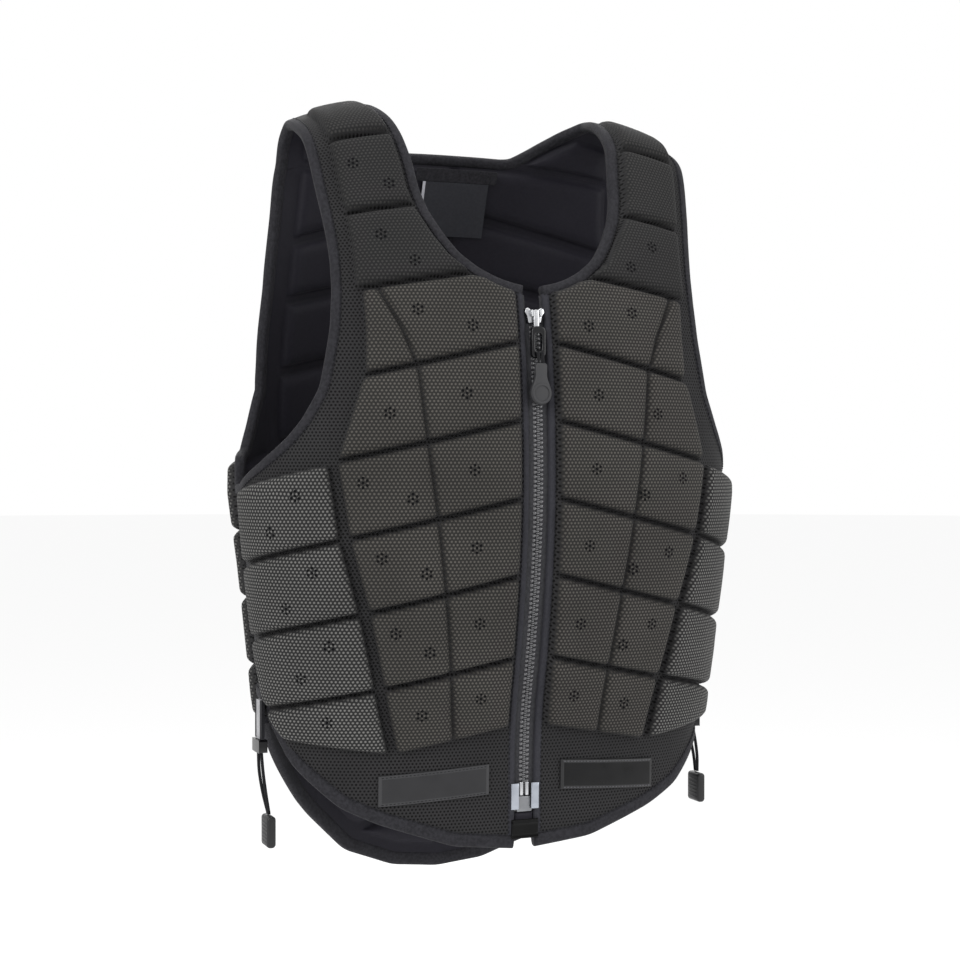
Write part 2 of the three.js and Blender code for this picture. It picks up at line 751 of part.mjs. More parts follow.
// Back strap: one pad from the back panel up to the shoulder seam.
const backStrapFoot = grooveLine(back, backRim, seamGap / 2);
const backStrapStart = alongOfZ(back, backRim.z * backLength);
const backStrapEdge = (rows, shift = 0) => (along) => {
  const share = (along - backStrapStart) / (backSeamAlong - backStrapStart);
  return lookUp(rows, 'share', 'u', share) * bodyHalfWidth + shift;
};
const backStrapGrid = quiltGrid(
  back,
  [
    ...padRows([backStrapFoot], steady(backSeamAlong - backShoulderMargin)),
    { kind: 'flat', along: steady(backSeamAlong - seamGap / 2) },
  ],
  [
    margin(backStrapEdge(backStrapInner)),
    ...padColumns([backStrapEdge(backStrapInner, strapNeckMargin), backStrapEdge(backStrapOuter, -backArmholeMargin)]),
    margin(backStrapEdge(backStrapOuter)),
  ],
);

// Side edges of the back wing and gusset, measured from the back centre so that front and back meet.
const frontWingEnd = (z) => lookUp(frontWingEdge, 'z', 'edge', z / frontLength) * bodyHalfWidth;
const backWingEnd = (along) => {
  const { z } = sectionAt(back, along);
  return halfGirth(z) - frontWingEnd(z) - gussetWidth - 2 * seamGap;
};
const backWingFoot = risingLine(back, backWingStart);
const backWingFeet = [backWingFoot, ...backGrooves.slice(3, 6).map((groove) => grooveLine(back, groove))];
const backWingInner = seamLine(back, backSeams, 'edge', seamGap / 2);
const backWingTopPad = grooveLine(back, backGrooves[6]);
const backWingLines = stacked([backHemLine, ...backWingFeet, backWingTopPad]);
const backWingGrid = quiltGrid(
  back,
  [
    { kind: 'flat', along: backHemLine },
    ...padRows(backWingLines.slice(1, -1), backWingLines.at(-1)),
    { kind: 'flat', along: stacked([backWingTopPad, heightLine(back, backArmhole)], leastMarginHeight).at(-1) },
  ],
  [
    ...padColumns([backWingInner, (along) => backWingEnd(along) - wingMargin], wingCrowns),
    margin(backWingEnd),
  ],
);

// Gusset: plain stretch cloth that joins the two wings at the side.
function gussetGrid() {
  const topZ = frontArmhole.at(-1).z * frontLength;
  const footZ = frontHem.at(-1).z * frontLength;
  const grid = [];
  for (let i = 0; i <= gussetRows; i += 1) {
    const z = footZ + ((topZ - footZ) * i) / gussetRows;
    const start = frontWingEnd(z) + seamGap;
    const line = [];
    for (let j = 0; j <= gussetColumns; j += 1) {
      const distance = start + (gussetWidth * j) / gussetColumns;
      const { point, normal } = sheetFrame(front, distance, alongOfZ(front, z));
      line.push({
        point,
        normal,
        outer: point.clone().addScaledVector(normal, gussetThickness / 2),
        inner: point.clone().addScaledVector(normal, -gussetThickness / 2),
      });
    }
    grid.push(line);
  }
  return grid;
}
const sideGrid = gussetGrid();

// Borders of the grids, each running the way that its name says.
const columnOf = (grid, index) => grid.map((row) => row.at(index));
const lowestFirst = (grid, index) => columnOf(grid, index);
const highestFirst = (grid, index) => columnOf(grid, index).reverse();
const mirrorCell = (cell) => ({
  point: cell.point.clone().multiply(new THREE.Vector3(-1, 1, 1)),
  normal: cell.normal.clone().multiply(new THREE.Vector3(-1, 1, 1)),
});

// Path without places that nearly coincide.
function tidyPath(cells) {
  const kept = [];
  for (const cell of cells) {
    const last = kept[kept.length - 1];
    if (!last || last.point.distanceTo(cell.point) > bindingStep) kept.push(cell);
  }
  return kept;
}

// A bound edge: a rounded strip that runs along a border, just outside it. The piece lies left or right of the way.
function bindingGeometry(cells, closed, way, gap = bindingGap) {
  const path = tidyPath(cells);
  if (closed && path[0].point.distanceTo(path[path.length - 1].point) < bindingStep) path.pop();
  const half = bindingThickness / 2;
  const corner = bindingWidth * 0.3;
  const section = [
    [gap, -half],
    [gap + bindingWidth, -half + corner],
    [gap + bindingWidth, half - corner],
    [gap, half],
  ];
  const count = path.length;
  const vertices = [];
  path.forEach((cell, k) => {
    const before = path[closed ? (k + count - 1) % count : Math.max(k - 1, 0)].point;
    const after = path[closed ? (k + 1) % count : Math.min(k + 1, count - 1)].point;
    const into = cell.point.clone().sub(before);
    const outOf = after.clone().sub(cell.point);
    if (into.lengthSq() === 0) into.copy(outOf);
    if (outOf.lengthSq() === 0) outOf.copy(into);
    const tangent = into.normalize().clone().add(outOf.normalize()).normalize();
    const stretch = 1 / Math.max(tangent.dot(outOf), 0.75);
    const outward = new THREE.Vector3().crossVectors(tangent, cell.normal).normalize().multiplyScalar(way * stretch);
    for (const [away, over] of section) {
      const place = cell.point.clone().addScaledVector(outward, away).addScaledVector(cell.normal, over);
      vertices.push(...place.toArray());
    }
  });
  const faces = [];
  const sides = section.length;
  const rings = closed ? count : count - 1;
  for (let k = 0; k < rings; k += 1) {
    for (let s = 0; s < sides; s += 1) {
      const a = k * sides + s;
      const b = k * sides + ((s + 1) % sides);
      const c = ((k + 1) % count) * sides + ((s + 1) % sides);
      const d = ((k + 1) % count) * sides + s;
      faces.push(a, b, c, a, c, d);
    }
  }
  if (!closed) {
    const last = (count - 1) * sides;
    for (let s = 1; s + 1 < sides; s += 1) {
      faces.push(0, s + 1, s);
      faces.push(last, last + s, last + s + 1);
    }
  }
  return facingOut(vertices, faces);
}

// Round the armhole: down the front edge, under the arm and up the back edge.
const edgesAbove = (cells, z) => cells.filter((cell) => cell.point.z > z);
const armholeCorner = wingGrid[wingGrid.length - 1][0].point.z;
const backCorner = backWingGrid[backWingGrid.length - 1][0].point.z;
const armholePath = [
  ...highestFirst(strapGrid, -1),
  ...edgesAbove(highestFirst(panelGrid, -1), armholeCorner + bindingCornerClear),
  ...wingGrid[wingGrid.length - 1],
  ...sideGrid[sideGrid.length - 1].slice(1, -1),
  ...[...backWingGrid[backWingGrid.length - 1]].reverse(),
  ...edgesAbove(lowestFirst(backGrid, -1), backCorner + bindingCornerClear),
  ...lowestFirst(backStrapGrid, -1),
];

// Round the neck: from the left zip top over the left shoulder, behind the neck and back down the right.
const backTopRow = backGrid[backGrid.length - 1];
const strapFootX = backStrapGrid[0][0].point.x;
const strapNeckX = strapGrid[0][0].point.x - neckCornerClear;
const frontNeckRow = panelGrid[panelGrid.length - 1].filter((cell) => cell.point.x < strapNeckX);
const leftNeckPath = [
  ...frontNeckRow,
  ...lowestFirst(strapGrid, 0),
  ...highestFirst(backStrapGrid, 0),
];
const neckPath = [
  ...leftNeckPath,
  ...[...backTopRow].reverse().filter((cell) => Math.abs(cell.point.x) < strapFootX - bindingCornerClear),
  ...[...leftNeckPath].reverse().map(mirrorCell),
];

// Along the hems.
const frontHemPath = [...panelGrid[0], ...wingGrid[0].slice(1), ...sideGrid[0].slice(1, -1)];
const backHemPath = [
  ...[...backWingGrid[0]].reverse().map(mirrorCell),
  ...backGrid[0],
  ...backWingGrid[0],
];

// A thin piece laid on the cloth: a grid of the sheet between two distances and two heights.
function laidGrid(side, distances, heights, nearest, thickness) {
  return heights.map((heightOf) => distances.map((distance) => {
    const { point, normal } = sheetFrame(side, distance, alongOfZ(side, heightOf(distance)));
    return {
      point,
      normal,
      outer: point.clone().addScaledVector(normal, nearest + thickness),
      inner: point.clone().addScaledVector(normal, nearest),
    };
  }));
}
const spread = (from, to, count) => Array.from({ length: count + 1 }, (_, k) => from + ((to - from) * k) / count);
const levelLines = (from, to, count) => spread(from, to, count).map((z) => () => z);

// Heights of the zip, the patches and the label, each from the edge that it is sewn beside.
const zipTopZ = frontGrooves.strapC.z * frontLength - zipDrop;
const zipFootZ = -frontLength + zipFootRise;
const patchTopZ = -frontLength + patchRise;
const labelTopZ = backRim.z * backLength - labelDrop;

// Zip teeth: each half is a comb whose inner edge runs in and out between the other's.
const chainTopZ = zipTopZ - sliderHeight - hingeGap;
function zipCombGrid() {
  const count = 2 * Math.floor((chainTopZ - zipFootZ) / toothPitch);
  return spread(chainTopZ, zipFootZ, count).map((z, k) => {
    const { point, normal } = sheetFrame(front, 0, alongOfZ(front, z));
    const tip = (k % 2 === 0 ? 1 : -1) * (toothDepth / 2);
    return [tip + hingeGap / 2, chainHalfWidth].map((x) => {
      const place = point.clone().setX(x);
      return {
        outer: place.clone().addScaledVector(normal, chainThickness / 2),
        inner: place.clone().addScaledVector(normal, -chainThickness / 2),
      };
    });
  });
}
// The right half's tips fall in the left half's hollows, so its edge runs the same way, not mirrored.
function zipCombGridRight() {
  return zipCombGrid().map((row, k) => {
    const tip = (k % 2 === 0 ? 1 : -1) * (toothDepth / 2);
    const xs = [tip - hingeGap / 2, -chainHalfWidth];
    return row.map((cell, j) => ({ outer: cell.outer.clone().setX(xs[j]), inner: cell.inner.clone().setX(xs[j]) }));
  });
}
const tapeGrid = laidGrid(
  front,
  [chainHalfWidth + hingeGap, zipSlotHalf - hingeGap],
  levelLines(chainTopZ, zipFootZ, 14),
  -tapeThickness / 2,
  tapeThickness,
);

// Plates cut from an outline in the plane of the chest, with their thickness towards the front.
function plate(outline, thickness, bevel = 0, roundSteps = 2) {
  const geometry = new THREE.ExtrudeGeometry(outline, {
    depth: thickness - 2 * bevel,
    bevelEnabled: bevel > 0,
    bevelThickness: bevel,
    bevelSize: bevel,
    bevelOffset: -bevel,
    bevelSegments: 1,
    curveSegments: roundSteps,
  });
  geometry.translate(0, 0, bevel);
  return geometry.rotateX(Math.PI / 2);
}
function roundedOutline(width, top, foot, radius) {
  const shape = new THREE.Shape();
  const half = width / 2;
  shape.moveTo(-half + radius, foot);
  shape.lineTo(half - radius, foot);
  shape.absarc(half - radius, foot + radius, radius, -Math.PI / 2, 0, false);
  shape.lineTo(half, top - radius);
  shape.absarc(half - radius, top - radius, radius, 0, Math.PI / 2, false);
  shape.lineTo(-half + radius, top);
  shape.absarc(-half + radius, top - radius, radius, Math.PI / 2, Math.PI, false);
  shape.lineTo(-half, foot + radius);
  shape.absarc(-half + radius, foot + radius, radius, Math.PI, 1.5 * Math.PI, false);
  return shape;
}
const frontYAt = (z) => sheetPoint(front, 0, alongOfZ(front, z)).y;

// Joins closed geometries into one.
const wasm = await Module();
wasm.setup();
function toSolid(geometry) {
  const bare = geometry.clone();
  bare.deleteAttribute('normal');
  bare.deleteAttribute('uv');
  const merged = mergeVertices(bare, 1e-4);
  const vertProperties = merged.getAttribute('position').array;
  const triVerts = new Uint32Array(merged.index.array);
  return new wasm.Manifold(new wasm.Mesh({ numProp: 3, vertProperties, triVerts }));
}
function joined(...geometries) {
  const solid = geometries.map(toSolid).reduce((sum, next) => sum.add(next));
  const mesh = solid.getMesh();
  const geometry = new THREE.BufferGeometry();
  geometry.setAttribute('position', new THREE.Float32BufferAttribute(mesh.vertProperties, 3));
  geometry.setIndex(Array.from(mesh.triVerts));
  geometry.computeVertexNormals();
  return geometry;
}

// Slider: a shield with a waist, and two lugs that carry the puller's pin.
const sliderFootZ = zipTopZ - sliderHeight;
const sliderY = frontYAt(zipTopZ - sliderHeight / 2);
const sliderFrontY = sliderY - sliderDepth / 2;
const pullerBackY = sliderFrontY - pullerStandOff;
const pullerFrontY = pullerBackY - pullerThickness;
const pullerTopZ = zipTopZ - pullerDrop;
function sliderGeometry() {
  const half = sliderWidth / 2;
  const shape = new THREE.Shape();
  shape.moveTo(-half * 0.62, sliderFootZ);
  shape.lineTo(half * 0.62, sliderFootZ);
  shape.lineTo(half * 0.78, zipTopZ - sliderHeight * 0.55);
  shape.lineTo(half, zipTopZ - sliderHeight * 0.3);
  shape.lineTo(half * 0.86, zipTopZ);
  shape.lineTo(half * 0.2, zipTopZ - sliderHeight * 0.14);
  shape.lineTo(-half * 0.2, zipTopZ - sliderHeight * 0.14);
  shape.lineTo(-half * 0.86, zipTopZ);
  shape.lineTo(-half, zipTopZ - sliderHeight * 0.3);
  shape.lineTo(-half * 0.78, zipTopZ - sliderHeight * 0.55);
  const body = plate(shape, sliderDepth, sliderBevel).translate(0, sliderY + sliderDepth / 2, 0);
  const lugDepth = lugSink + pullerStandOff + pullerThickness + lugReach;
  const lugX = pullerWidth / 2 + hingeGap + lugWidth / 2;
  const lugs = [-1, 1].map((way) => new THREE.BoxGeometry(lugWidth, lugDepth, lugHeight).translate(
    way * lugX,
    sliderFrontY + lugSink - lugDepth / 2,
    pullerTopZ - lugHeight / 2,
  ));
  return joined(body, ...lugs);
}
const pullerFootZ = pullerTopZ - pullerLength;
const pullerGeometry = plate(roundedOutline(pullerWidth, pullerTopZ, pullerFootZ, pullerCorner), pullerThickness)
  .translate(0, pullerBackY, 0);

// Link: a rounded frame of gloss plastic in front of the puller's foot.
const linkTopZ = pullerFootZ + plateLap;
const linkFootZ = linkTopZ - linkLength;
const linkBackY = pullerFrontY - hingeGap;
function linkGeometry() {
  const shape = roundedOutline(linkWidth, linkTopZ, linkFootZ, linkCorner);
  const windowTopZ = linkTopZ - plateLap - linkWindowMargin;
  const windowFootZ = linkFootZ + plateLap + linkWindowMargin;
  shape.holes.push(roundedOutline(linkWidth - 2 * linkRim, windowTopZ, windowFootZ, linkWindowCorner));
  return plate(shape, linkThickness, 0, 3).translate(0, linkBackY, 0);
}

// Tag: a soft pull with a narrow neck and a bulb, in front of the link's foot.
const tagTopZ = linkFootZ + plateLap;
const tagFootZ = tagTopZ - tagLength;
const tagBackY = linkBackY - linkThickness - hingeGap;
function tagGeometry() {
  const neck = tagNeckWidth / 2;
  const bulb = tagWidth / 2;
  const shoulderZ = tagTopZ - tagLength * 0.36;
  const widestZ = tagFootZ + bulb;
  const shape = new THREE.Shape();
  shape.moveTo(-neck, tagTopZ);
  shape.lineTo(-neck, shoulderZ);
  shape.quadraticCurveTo(-neck, widestZ + bulb * 0.9, -bulb, widestZ);
  shape.absarc(0, widestZ, bulb, Math.PI, 2 * Math.PI, false);
  shape.quadraticCurveTo(neck, widestZ + bulb * 0.9, neck, shoulderZ);
  shape.lineTo(neck, tagTopZ);
  return plate(shape, tagThickness, tagBevel, 4).translate(0, tagBackY, 0);
}

// Foot of the zip: a box under the chain, a stop plate each side, a cloth tab and a gloss strip over the hem.
const boxTopZ = zipFootZ - hingeGap;
const boxY = frontYAt(boxTopZ - boxHeight / 2);
const boxGeometry = plate(roundedOutline(boxWidth, boxTopZ, boxTopZ - boxHeight, boxCorner), boxDepth)
  .translate(0, boxY + boxDepth / 2, 0);
const edgeFront = meshThickness / 2 + layGap;
const stopPlateTopZ = zipFootZ + stopPlateRise;
const stopPlateGrid = laidGrid(
  front,
  [stopPlateInner, stopPlateInner + stopPlateWidth],
  levelLines(stopPlateTopZ, stopPlateTopZ - stopPlateHeight, 2),
  edgeFront,
  stopPlateThickness,
);
const hemTabTopZ = boxTopZ - boxHeight - hingeGap;
const hemTabGrid = laidGrid(
  front,
  spread(-hemTabWidth / 2, hemTabWidth / 2, 2),
  levelLines(hemTabTopZ, hemTabTopZ - hemTabHeight, 2),
  -hemTabThickness / 2,
  hemTabThickness,
);
const hemStripTopZ = hemTabTopZ - hemTabHeight + hemStripHeight;
const hemStripGrid = laidGrid(
  front,
  spread(-hemStripWidth / 2, hemStripWidth / 2, 2),
  levelLines(hemStripTopZ, hemStripTopZ - hemStripHeight, 1),
  edgeFront,
  hemStripThickness,
);

// Bare patches below the front pads, and the bare label with its tape inside the back of the neck.
const patchLine = (drop) => (u) => patchTopZ - drop - patchFall * (u - patchInner);
const patchGrid = laidGrid(
  front,
  spread(patchInner, patchInner + patchWidth, 5),
  [patchLine(0), patchLine(patchHeight / 2), patchLine(patchHeight)],
  edgeFront,
  patchThickness,
);
const insideFace = meshThickness / 2 + padBackStand + layGap;
const labelGrid = laidGrid(
  back,
  spread(-labelWidth / 2, labelWidth / 2, 4),
  levelLines(labelTopZ, labelTopZ - labelHeight, 3),
  -insideFace - labelThickness,
  labelThickness,
);
const tapeBandGrid = laidGrid(
  back,
  spread(-tapeBandWidth / 2, tapeBandWidth / 2, 4),
  levelLines(labelTopZ + tapeBandHeight + hingeGap, labelTopZ + hingeGap, 2),
  -insideFace - labelThickness,
  labelThickness,
);

// Side tabs sewn over the hem at the sides, each with a guide that the cord's two strands leave.
const gussetFootZ = sideGrid[0][0].point.z;
const tabTopZ = gussetFootZ - tabDrop;
const tabMiddle = frontWingEnd(gussetFootZ) - tabInset;
const tabFootZ = tabTopZ - sideTabLength;
const tabLayer = bindingThickness / 2 + layGap + sideTabThickness / 2;
const hangingGrid = (top, foot, thickness) => {
  const half = sideTabWidth / 2;
  const rows = levelLines(gussetFootZ, gussetFootZ, 1);
  const nearest = tabLayer - thickness / 2;
  const grid = laidGrid(front, spread(tabMiddle - half, tabMiddle + half, 2), rows, nearest, thickness);
  const lowered = (cell, z) => ({ outer: cell.outer.clone().setZ(z), inner: cell.inner.clone().setZ(z) });
  return [grid[0].map((cell) => lowered(cell, top)), grid[1].map((cell) => lowered(cell, foot))];
};
const tabGrid = hangingGrid(tabTopZ, tabFootZ, sideTabThickness);
const guideTopZ = tabFootZ - hingeGap;
const guideGrid = hangingGrid(guideTopZ, guideTopZ - cordGuideHeight, cordGuideThickness);

// A cord strand: a round tube along its route.
const guideFootZ = guideTopZ - cordGuideHeight;
const guideFoot = guideGrid[0][1].outer.clone().add(guideGrid[0][1].inner).divideScalar(2).setZ(guideFootZ);
function cordPoints(name) {
  const way = name.startsWith('left') ? 1 : -1;
  return cordRoutes[name].map(([left, behind, up]) => new THREE.Vector3(
    way * guideFoot.x + left,
    guideFoot.y + behind,
    guideFoot.z + up,
  ));
}
function cordGeometry(points) {
  const curve = new THREE.CatmullRomCurve3(points);
  const outline = new THREE.Shape();
  for (let k = 0; k < cordSides; k += 1) {
    const angle = (2 * Math.PI * k) / cordSides;
    const x = (cordDiameter / 2) * Math.cos(angle);
    const y = (cordDiameter / 2) * Math.sin(angle);
    if (k === 0) outline.moveTo(x, y);
    else outline.lineTo(x, y);
  }
  const steps = Math.round(curve.getLength() / cordStep);
  return new THREE.ExtrudeGeometry(outline, { steps, bevelEnabled: false, extrudePath: curve });
}
function cordPullGeometry(strands) {
  const end = strands.reduce((sum, points) => sum.add(points.at(-1)), new THREE.Vector3());
  end.divideScalar(strands.length);
  const top = end.z - cordEndGap;
  const outline = roundedOutline(cordPullThickness, top, top - cordPullLength, cordPullCorner);
  return plate(outline, cordPullWidth, cordPullBevel).translate(end.x, end.y + cordPullWidth / 2, 0);
}

// Materials.
const finish = (name, color, roughness, metalness = 0) => {
  const material = new THREE.MeshStandardMaterial({ color, roughness, metalness });
  material.name = name;
  return material;
};
const meshCloth = finish('spacer mesh', 0x333331, 0.9);
const bindingTape = finish('binding tape', 0x3a393e, 0.75);
const stretchCloth = finish('stretch cloth', 0x2b2b2d, 0.85);
const silverMetal = finish('silver metal', 0xb9bcc0, 0.3, 1);
const zipCoil = finish('zip plastic', 0x232326, 0.45);
const darkRubber = finish('dark rubber', 0x2c2d30, 0.6);
const glossPlastic = finish('gloss plastic', 0x0e0e10, 0.15);
const paleWebbing = finish('pale webbing', 0xc4c4c4, 0.8);
const labelCloth = finish('label cloth', 0x3a3b40, 0.7);
const cordCloth = finish('cord cloth', 0x101012, 0.7);

const group = new THREE.Group();
function add(name, geometry, material) {
  const mesh = new THREE.Mesh(geometry, material);
  mesh.name = name;
  group.add(mesh);
  return mesh;
}
function addPair(name, geometry, material) {
  add(name.replace('SIDE', 'left'), geometry, material);
  add(name.replace('SIDE', 'right'), mirrored(geometry), material);
}

addPair('front_SIDE_panel', shellGeometry(panelGrid), meshCloth);
addPair('front_SIDE_strap', shellGeometry(strapGrid), meshCloth);
addPair('front_SIDE_wing', shellGeometry(wingGrid), meshCloth);
add('back_panel', shellGeometry(backGrid), meshCloth);
addPair('back_SIDE_strap', shellGeometry(backStrapGrid), meshCloth);
addPair('back_SIDE_wing', shellGeometry(backWingGrid), meshCloth);
addPair('SIDE_gusset', shellGeometry(sideGrid), stretchCloth);
addPair('SIDE_armhole_binding', bindingGeometry(armholePath, true, -1), bindingTape);
add('neck_binding', bindingGeometry(neckPath, false, -1), bindingTape);
addPair('front_SIDE_hem_binding', bindingGeometry(frontHemPath, false, 1, hemBindingGap), bindingTape);
add('back_hem_binding', bindingGeometry(backHemPath, false, -1), bindingTape);
add('zip_teeth_left', shellGeometry(zipCombGrid()), zipCoil);
add('zip_teeth_right', shellGeometry(zipCombGridRight()), zipCoil);
addPair('zip_tape_SIDE', shellGeometry(tapeGrid), bindingTape);
add('zip_slider', sliderGeometry(), silverMetal);
add('zip_puller', pullerGeometry, silverMetal);
add('zip_link', linkGeometry(), glossPlastic);
add('zip_tag', tagGeometry(), darkRubber);
add('zip_box', boxGeometry, silverMetal);
addPair('zip_stop_plate_SIDE', shellGeometry(stopPlateGrid), silverMetal);
add('hem_tab', shellGeometry(hemTabGrid), meshCloth);
add('hem_strip', shellGeometry(hemStripGrid), glossPlastic);
addPair('SIDE_patch', shellGeometry(patchGrid), darkRubber);
add('neck_label', shellGeometry(labelGrid), labelCloth);
add('neck_tape', shellGeometry(tapeBandGrid), bindingTape);
addPair('SIDE_tab', shellGeometry(tabGrid), paleWebbing);
addPair('SIDE_cord_guide', shellGeometry(guideGrid), glossPlastic);
for (const name of Object.keys(cordRoutes)) add(name, cordGeometry(cordPoints(name)), cordCloth);
for (const side of ['left', 'right']) {
  const strands = [cordPoints(`${side}_cord_front`), cordPoints(`${side}_cord_back`)];
  add(`${side}_cord_pull`, cordPullGeometry(strands), darkRubber);
}

export default group;
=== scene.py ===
"""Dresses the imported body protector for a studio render. Sizes are in millimetres, Blender's in metres."""
import math

import bmesh
import bpy
import numpy as np
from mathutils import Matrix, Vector
from mathutils.bvhtree import BVHTree


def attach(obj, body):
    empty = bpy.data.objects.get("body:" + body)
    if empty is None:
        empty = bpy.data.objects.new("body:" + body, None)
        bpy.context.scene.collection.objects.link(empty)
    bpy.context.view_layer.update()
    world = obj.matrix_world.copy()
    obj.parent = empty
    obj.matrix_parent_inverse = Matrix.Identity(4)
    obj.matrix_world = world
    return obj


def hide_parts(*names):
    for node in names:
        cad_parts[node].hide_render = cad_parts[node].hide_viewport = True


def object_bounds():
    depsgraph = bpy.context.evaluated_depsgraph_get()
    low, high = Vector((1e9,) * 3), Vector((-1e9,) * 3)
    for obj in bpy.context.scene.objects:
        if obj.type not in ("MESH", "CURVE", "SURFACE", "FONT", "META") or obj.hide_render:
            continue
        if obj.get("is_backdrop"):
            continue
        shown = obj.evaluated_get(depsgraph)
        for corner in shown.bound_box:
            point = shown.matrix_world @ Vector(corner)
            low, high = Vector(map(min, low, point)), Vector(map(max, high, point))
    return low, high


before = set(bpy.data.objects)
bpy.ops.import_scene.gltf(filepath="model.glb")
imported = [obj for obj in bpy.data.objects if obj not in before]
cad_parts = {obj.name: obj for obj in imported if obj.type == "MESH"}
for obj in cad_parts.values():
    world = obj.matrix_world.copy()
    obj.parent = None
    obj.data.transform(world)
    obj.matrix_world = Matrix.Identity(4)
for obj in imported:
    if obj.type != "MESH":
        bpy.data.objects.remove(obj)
cad_low, cad_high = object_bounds()
MM = 0.001
X_AXIS, Y_AXIS, Z_AXIS = np.eye(3)

# Driving sizes, the same as the CAD source's.
BODY_HALF_WIDTH = 180
FRONT_LENGTH = 508
FRONT_DEPTH = 91
BACK_LENGTH = 556
BACK_DEPTH = 120
SIDE_LINE_Y = -14
SHOULDER_HEIGHT = 20
SHOULDER_SEAM_Y = 22
SHOULDER_FALL = 58
SECTION_POWER = 2.4
FLAT_SHARE = 0.75
GIRTH_STEPS = 24
MESH_THICKNESS = 5.5
PAD_STAND = 8
PAD_BACK_STAND = 5.5
RIDGE_STAND_SHARE = 0.4
RIDGE_REACH = 70
LEAST_ROW_HEIGHT = 7
LEAST_MARGIN_HEIGHT = 2
SEAM_GAP = 0.1
ZIP_SLOT_HALF = 8
PLACKET_WIDTH = 5
MID_SEAM_FLOOR = 0.5
GUSSET_WIDTH = 26
SHOULDER_MARGIN = 12
SHOULDER_MARGIN_FALL = 0.02
BACK_SHOULDER_MARGIN = 10
STRAP_NECK_MARGIN = 3
STRAP_ARMHOLE_MARGIN = 9
BACK_ARMHOLE_MARGIN = 12
WING_MARGIN = 9
HEM_MARGIN = 9
ZIP_TOP_Z = -138
ZIP_FOOT_Z = -476

# Steps along and round the body, in which the curves are followed.
SAMPLES_PER_LEVEL = 8
ANGLE_STEP = 0.02
LAST_ANGLE = 3.1
NORMAL_STEP = 1.5

# Fine lines beside a seam, and the spacing of the lines between.
SHOULDER_STEPS = (0.0, 0.45, 1.1, 2.0, 3.2, 4.8, 6.8)
COARSE_STEP = 5.0

# Search for the crossings of lines: where it starts, its rounds, and the steepest slope that it trusts.
SEARCH_START = 60.0
SEARCH_STEPS = 14
MOST_SLOPE = 0.9

# Rounding of the blocks beside a seam, outside and inside, and the swelling of their tops.
OUTER_RADIUS = 5.6
OUTER_START = 0.9
INNER_RADIUS = 4.6
INNER_START = 4
DOME = 0.08

# Grain of the materials, in metres.
KNIT_PITCH = 0.0026
KNIT_RELIEF = 0.0005
FAINT_GRAIN = 0.00005

# Gusset cloth.
GUSSET_HALF = 1.3
GUSSET_RIB = 0.25
GUSSET_RIB_PITCH = 4

# Bound edges and their stitches.
LEAST_EDGE = 2.2
BINDING_STEP = 2.5
BINDING_IN = -2.8
BINDING_OUT = 5.4
BINDING_HALF = 3.75
HEM_BINDING_IN = -5.5
STITCH_STEP = 3.4
STITCH_SIZE = (0.7, 0.5, 2.2)
STITCH_INSET = 1.3
STITCH_SUNK = 0.15
CORNER_CLEAR = 4

# Patches at the front hem: a raised border with stitches, and a smooth inset.
RIM_RADIUS = 0.8
EDGE_FRONT = 3.25
PATCH_INNER = 27
PATCH_OUTER = 103
PATCH_HEIGHT = 21
PATCH_TOP_Z = -452
PATCH_FALL = 0.07
PATCH_THICKNESS = 1.3
INSET = 2.4
INSET_THICKNESS = 0.4
DASH_STEP = 2.6
DASH_INSET = 1.3

# Neck label and its tape.
LABEL_WIDTH = 54
LABEL_HEIGHT = 40
LABEL_TOP_Z = -27
LABEL_FOLD = 2.2
TAPE_HALF = 33
INSIDE_FACE = 8.75

# Zip: teeth and tapes.
CHAIN_TOP_Z = ZIP_TOP_Z - 10.8
NECK_FOOT_Z = -129
TOOTH_PITCH = 3.1
TOOTH_HEAD = (2.5, 2.5, 1.3)
TOOTH_HEAD_AT = 0.1
TOOTH_LEG = (2.6, 2.2, 2.2)
TOOTH_LEG_AT = 2.5
TAPE_INNER = 0.9
TOP_TAPE_INNER = 5.6
TAPE_OUTER = 8.3
TAPE_THICKNESS = 0.9

# Zip: slider, puller, link and tag, then the box at the foot.
SLIDER_HALF = 7.5
LUG_AT = 3.3
LUG_WIDTH = 1.5
PULL_GAP = 0.3
PULLER_WIDTH = 4.2
PULLER_LENGTH = 15.5
PULLER_THICKNESS = 2.2
LINK_WIDTH = 10.8
LINK_LENGTH = 22
LINK_THICKNESS = 3.7
LINK_STEP = 3.8
TAG_LENGTH = 36
TAG_THICKNESS = 4.4
TAG_RADIUS = 7.7
TAG_NECK_HALF = 4.3
TAG_CORD_HALF = 0.9
OVERLAP = 4
BOX_WIDTH = 11.8
BOX_HEIGHT = 11
BOX_DEPTH = 5

# Cloth tab and glossy strip below the box.
HEM_TAB_LENGTH = 16
HEM_TAB_HALF = 7.5
HEM_STRIP_HALF = 10

